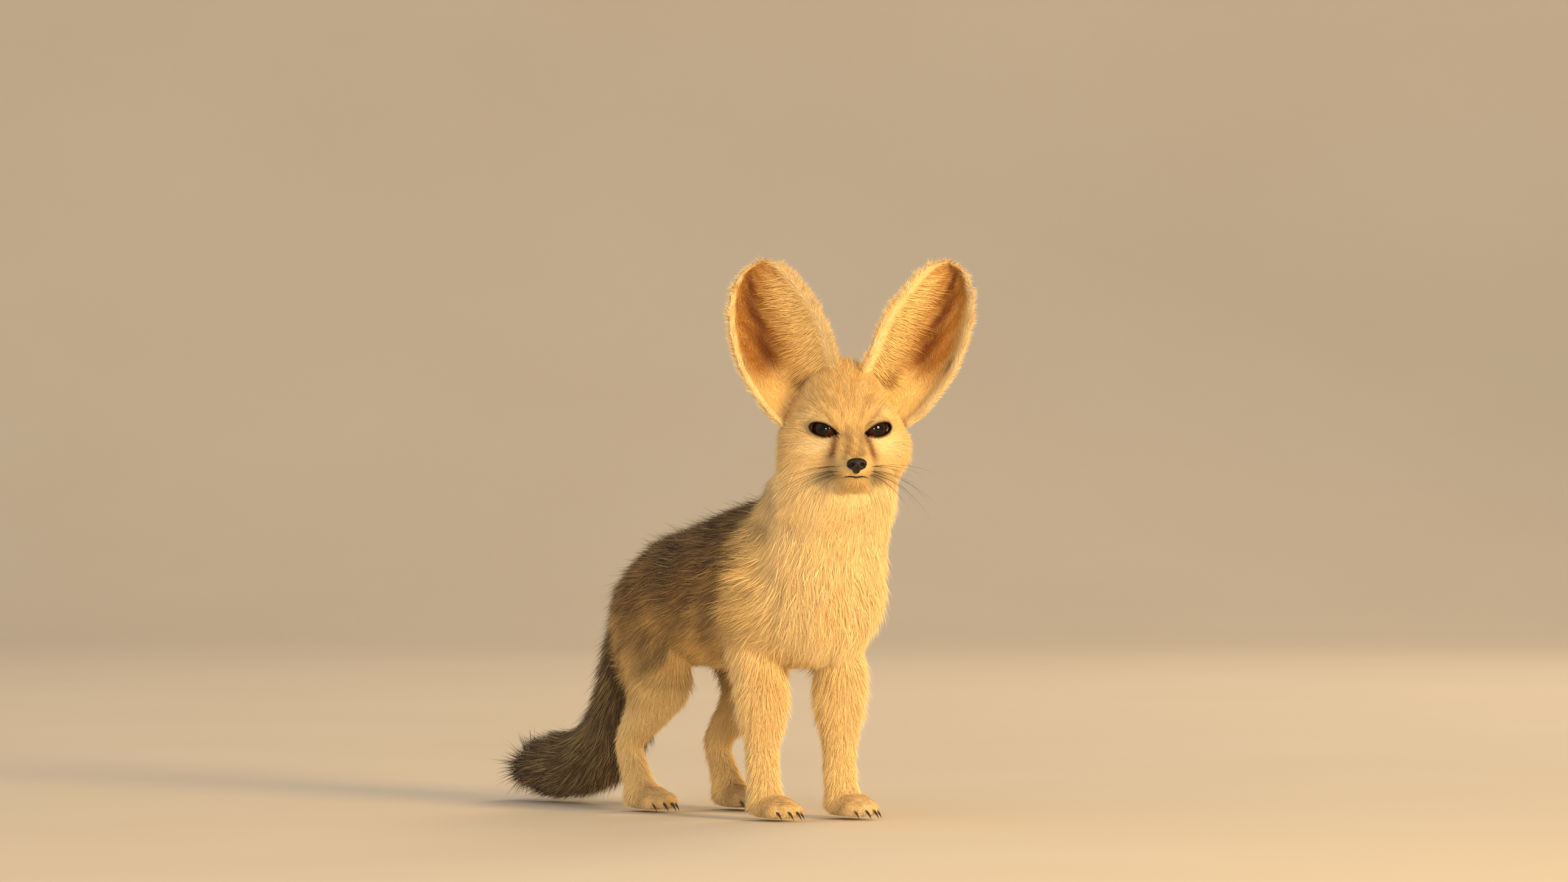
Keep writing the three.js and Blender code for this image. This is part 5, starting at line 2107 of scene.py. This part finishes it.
@dataclass
class Studio:
    """The camera, the lights and the floor.

    Attributes:
        aim: the place that the camera looks at, in the fox's frame.
        lit: the place that the lights look at.
        rise: how much higher the camera stands than its aim, in millimetres.
        distance: from the camera to the fox, in millimetres.
        width: the width of the frame at the fox, in millimetres.
    """

    azimuth: float = 53.13
    aim: Place = (51.8, -10.9, 227.0)
    lit: Place = (40.0, 0.0, 150.0)
    rise: float = 6.0
    distance: float = 4000.0
    width: float = 940.0

    def ways(self) -> tuple[Array, Array]:
        """The ways to the viewer's right and towards the viewer, along the floor."""
        a = math.radians(self.azimuth)
        return np.array([math.cos(a), math.sin(a), 0]), np.array([math.sin(a), -math.cos(a), 0])

    def camera(self) -> Thing:
        """Makes the camera, at the photo's angle and framing."""
        data = bpy.data.cameras.new("camera")
        data.sensor_width = 36
        data.lens = 36 * self.distance / self.width
        data.clip_start, data.clip_end = 0.05, 60
        data.dof.use_dof = False
        made = put("camera", data)
        back = self.ways()[1] + [0, 0, self.rise / self.distance]
        made.location = packed(self.aim) + back * self.distance / METRE
        made.rotation_mode = "QUATERNION"
        made.rotation_quaternion = Vector(-back).to_track_quat("-Z", "Y")
        bpy.context.scene.camera = made
        return made

    def light(self, name: str, at: Place, size: float, watts: float, colour: Colour) -> None:
        """Adds a soft square light that faces the fox.

        Args:
            name: its name.
            at: its place, to the viewer's right, towards the viewer and up, in metres.
            size: its side in metres.
            watts: its power.
            colour: its colour.
        """
        data = bpy.data.lights.new(name, "AREA")
        data.shape, data.size, data.energy, data.color = "SQUARE", size, watts, colour[:3]
        made = put(name, data)
        away = np.array(at) @ [*self.ways(), (0, 0, 1)]
        made.location = packed(self.lit) + away
        made.rotation_mode = "QUATERNION"
        made.rotation_quaternion = Vector(-away).to_track_quat("-Z", "Y")

    def floor(self) -> Thing:
        """Makes the pale floor, which rises far behind the fox."""
        right, back = self.ways()
        near, far, bend, top = -9.0, 3.2, 1.6, 7.0
        turn = np.linspace(0.1, math.pi / 2, 16)
        profile = [(near, 0.0), (far, 0.0)]
        profile += [(far + bend * math.sin(q), bend - bend * math.cos(q)) for q in turn]
        profile.append((far + bend, top))
        points = [
            right * across - back * away + [0, 0, up]
            for away, up in profile
            for across in (-12.0, 12.0)
        ]
        faces = [(2 * i, 2 * i + 1, 2 * i + 3, 2 * i + 2) for i in range(len(profile) - 1)]
        mesh = bpy.data.meshes.new("floor")
        mesh.from_pydata([p.tolist() for p in points], [], faces)
        mesh.polygons.foreach_set("use_smooth", np.ones(len(mesh.polygons), bool))
        made = put("floor", mesh)
        finish = Finish("floor", 0.9, Specular_IOR_Level=0.2)
        finish.paint(finish.mix(finish.noise(3.0), shade("e2d6c4"), shade("e9dfcf")))
        mesh.materials.append(finish.material)
        return made

    def build(self) -> None:
        """Makes the camera, the lights, the sky's light and the floor."""
        self.camera()
        self.floor()
        self.light("key", (2.3, 2.6, 1.0), 1.0, 120, shade("ffd48c"))
        self.light("front", (0.3, 3.0, 0.35), 0.36, 26, shade("ffe4b8"))
        self.light("fill", (-2.6, 2.0, 1.4), 2.4, 8, shade("cfdcf7"))
        self.light("rim", (1.4, -2.4, 2.0), 1.4, 34, shade("ffdfb4"))
        world = bpy.data.worlds.new("sky")
        world.use_nodes = True
        back = world.node_tree.nodes["Background"]
        back.inputs[0].default_value, back.inputs[1].default_value = shade("efebe4"), 0.5
        bpy.context.scene.world = world
        bpy.context.scene.view_settings.view_transform = "Standard"


def ride(made: Thing, nodes: Sequence[str] = ()) -> None:
    """Fixes a piece to the fox.

    Args:
        made: the piece.
        nodes: the solids that it stands for.
    """
    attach(made, BODY)
    if nodes:
        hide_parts(*nodes)


@dataclass
class Fox:
    """The whole fox, built piece by piece.

    Attributes:
        flesh: its forms.
        fur: what grows its coats.
    """

    flesh: Flesh = field(default_factory=Flesh)
    fur: Fur = field(default_factory=Fur)

    def body(self) -> None:
        """Makes the skin and the coat over it."""
        skin = Skin(self.flesh, Markings(self.flesh)).build()
        skin.data.materials.append(SkinFinish().build())
        LOG.info("skin: %d faces", len(skin.data.polygons))
        points = places(skin.data)
        part = stored(skin.data, "part").round()
        self.finish = FurFinish().build()
        for n, coat in enumerate(COATS):
            bed = bed_of(skin, "bed", coat.grows(part, points))
            look = self.finish, BODY_SEED + n
            ride(self.fur.grow(bed, coat.name, coat.kind, coat.count, *look, **coat.changed))
        ride(skin, Skin.NODES)

    def face(self) -> None:
        """Makes the eyes, lids, nose, lips and whiskers."""
        wet, lid = EyeFinish().build(), SkinFinish("lid_skin", 0.6, 0.6).build()
        markings = Markings(self.flesh)
        for side in (1, -1):
            eye = Eye(side)
            ride(eye.ball(wet), [eye.name("eye")])
            lids = eye.lids(markings, lid)
            beyond = stored(lids.data, "part")
            bed = bed_of(lids, "bed", (beyond > 0.2) & (beyond < 5))
            name = eye.name("coat_lids")
            ride(self.fur.grow(bed, name, Tuft.SPIKE, 2400, self.finish, LID_SEED + side))
            ride(lids)
            LOG.info(eye.name("eye and lids"))
        rim = BareFinish("lip", Tone.RIM, shade("35231b"), 0.35).build()
        nose = BareFinish("nose_skin", shade("0e0706"), shade("1e110d"), 0.42, 1700.0, 0.0005).build()
        ride(Nose().build(nose), ["nose"])
        ride(Lips().build(rim))
        ride(Whiskers().build(HairFinish("whisker", shade("1c1410")).build()))
        LOG.info("nose, lips and whiskers")

    def ears(self) -> None:
        """Makes the ears and their fur."""
        bare = SkinFinish("ear_skin", 0.92, 0.7).build()
        for side in (1, -1):
            ear = Ear(side)
            shell = ear.shell(bare)
            behind = stored(shell.data, "part") > 0.5
            coats = (("inner", Tuft.SPIKE, 12000), ("back", Tuft.SPIKE, 9500), ("fringe", Tuft.LOCK, 1000))
            for n, (kind, tuft, count) in enumerate(coats):
                bed = bed_of(shell, "bed", behind == (kind == "back"))
                if kind == "fringe":
                    ear.fringe(bed)
                seed = EAR_SEED + 2 * n + side
                name = ear.name("coat_ear_" + kind)
                ride(self.fur.grow(bed, name, tuft, count, self.finish, seed, Scatter=0.12))
            ride(shell, [ear.name("ear")])

    def feet(self) -> None:
        """Makes the claws."""
        horn = BareFinish("claw", shade("2a211c"), shade("4a3c33"), 0.35, 900.0, 0.0002).build()
        ride(Claws(self.flesh).build(horn))
        LOG.info("claws")


def main() -> None:
    """Builds the fox and the studio."""
    logging.basicConfig(level=logging.INFO, format="%(message)s")
    Studio().build()
    fox = Fox()
    fox.body()
    fox.face()
    fox.ears()
    fox.feet()
    fox.fur.clear()


if __name__ == "__main__":
    main()
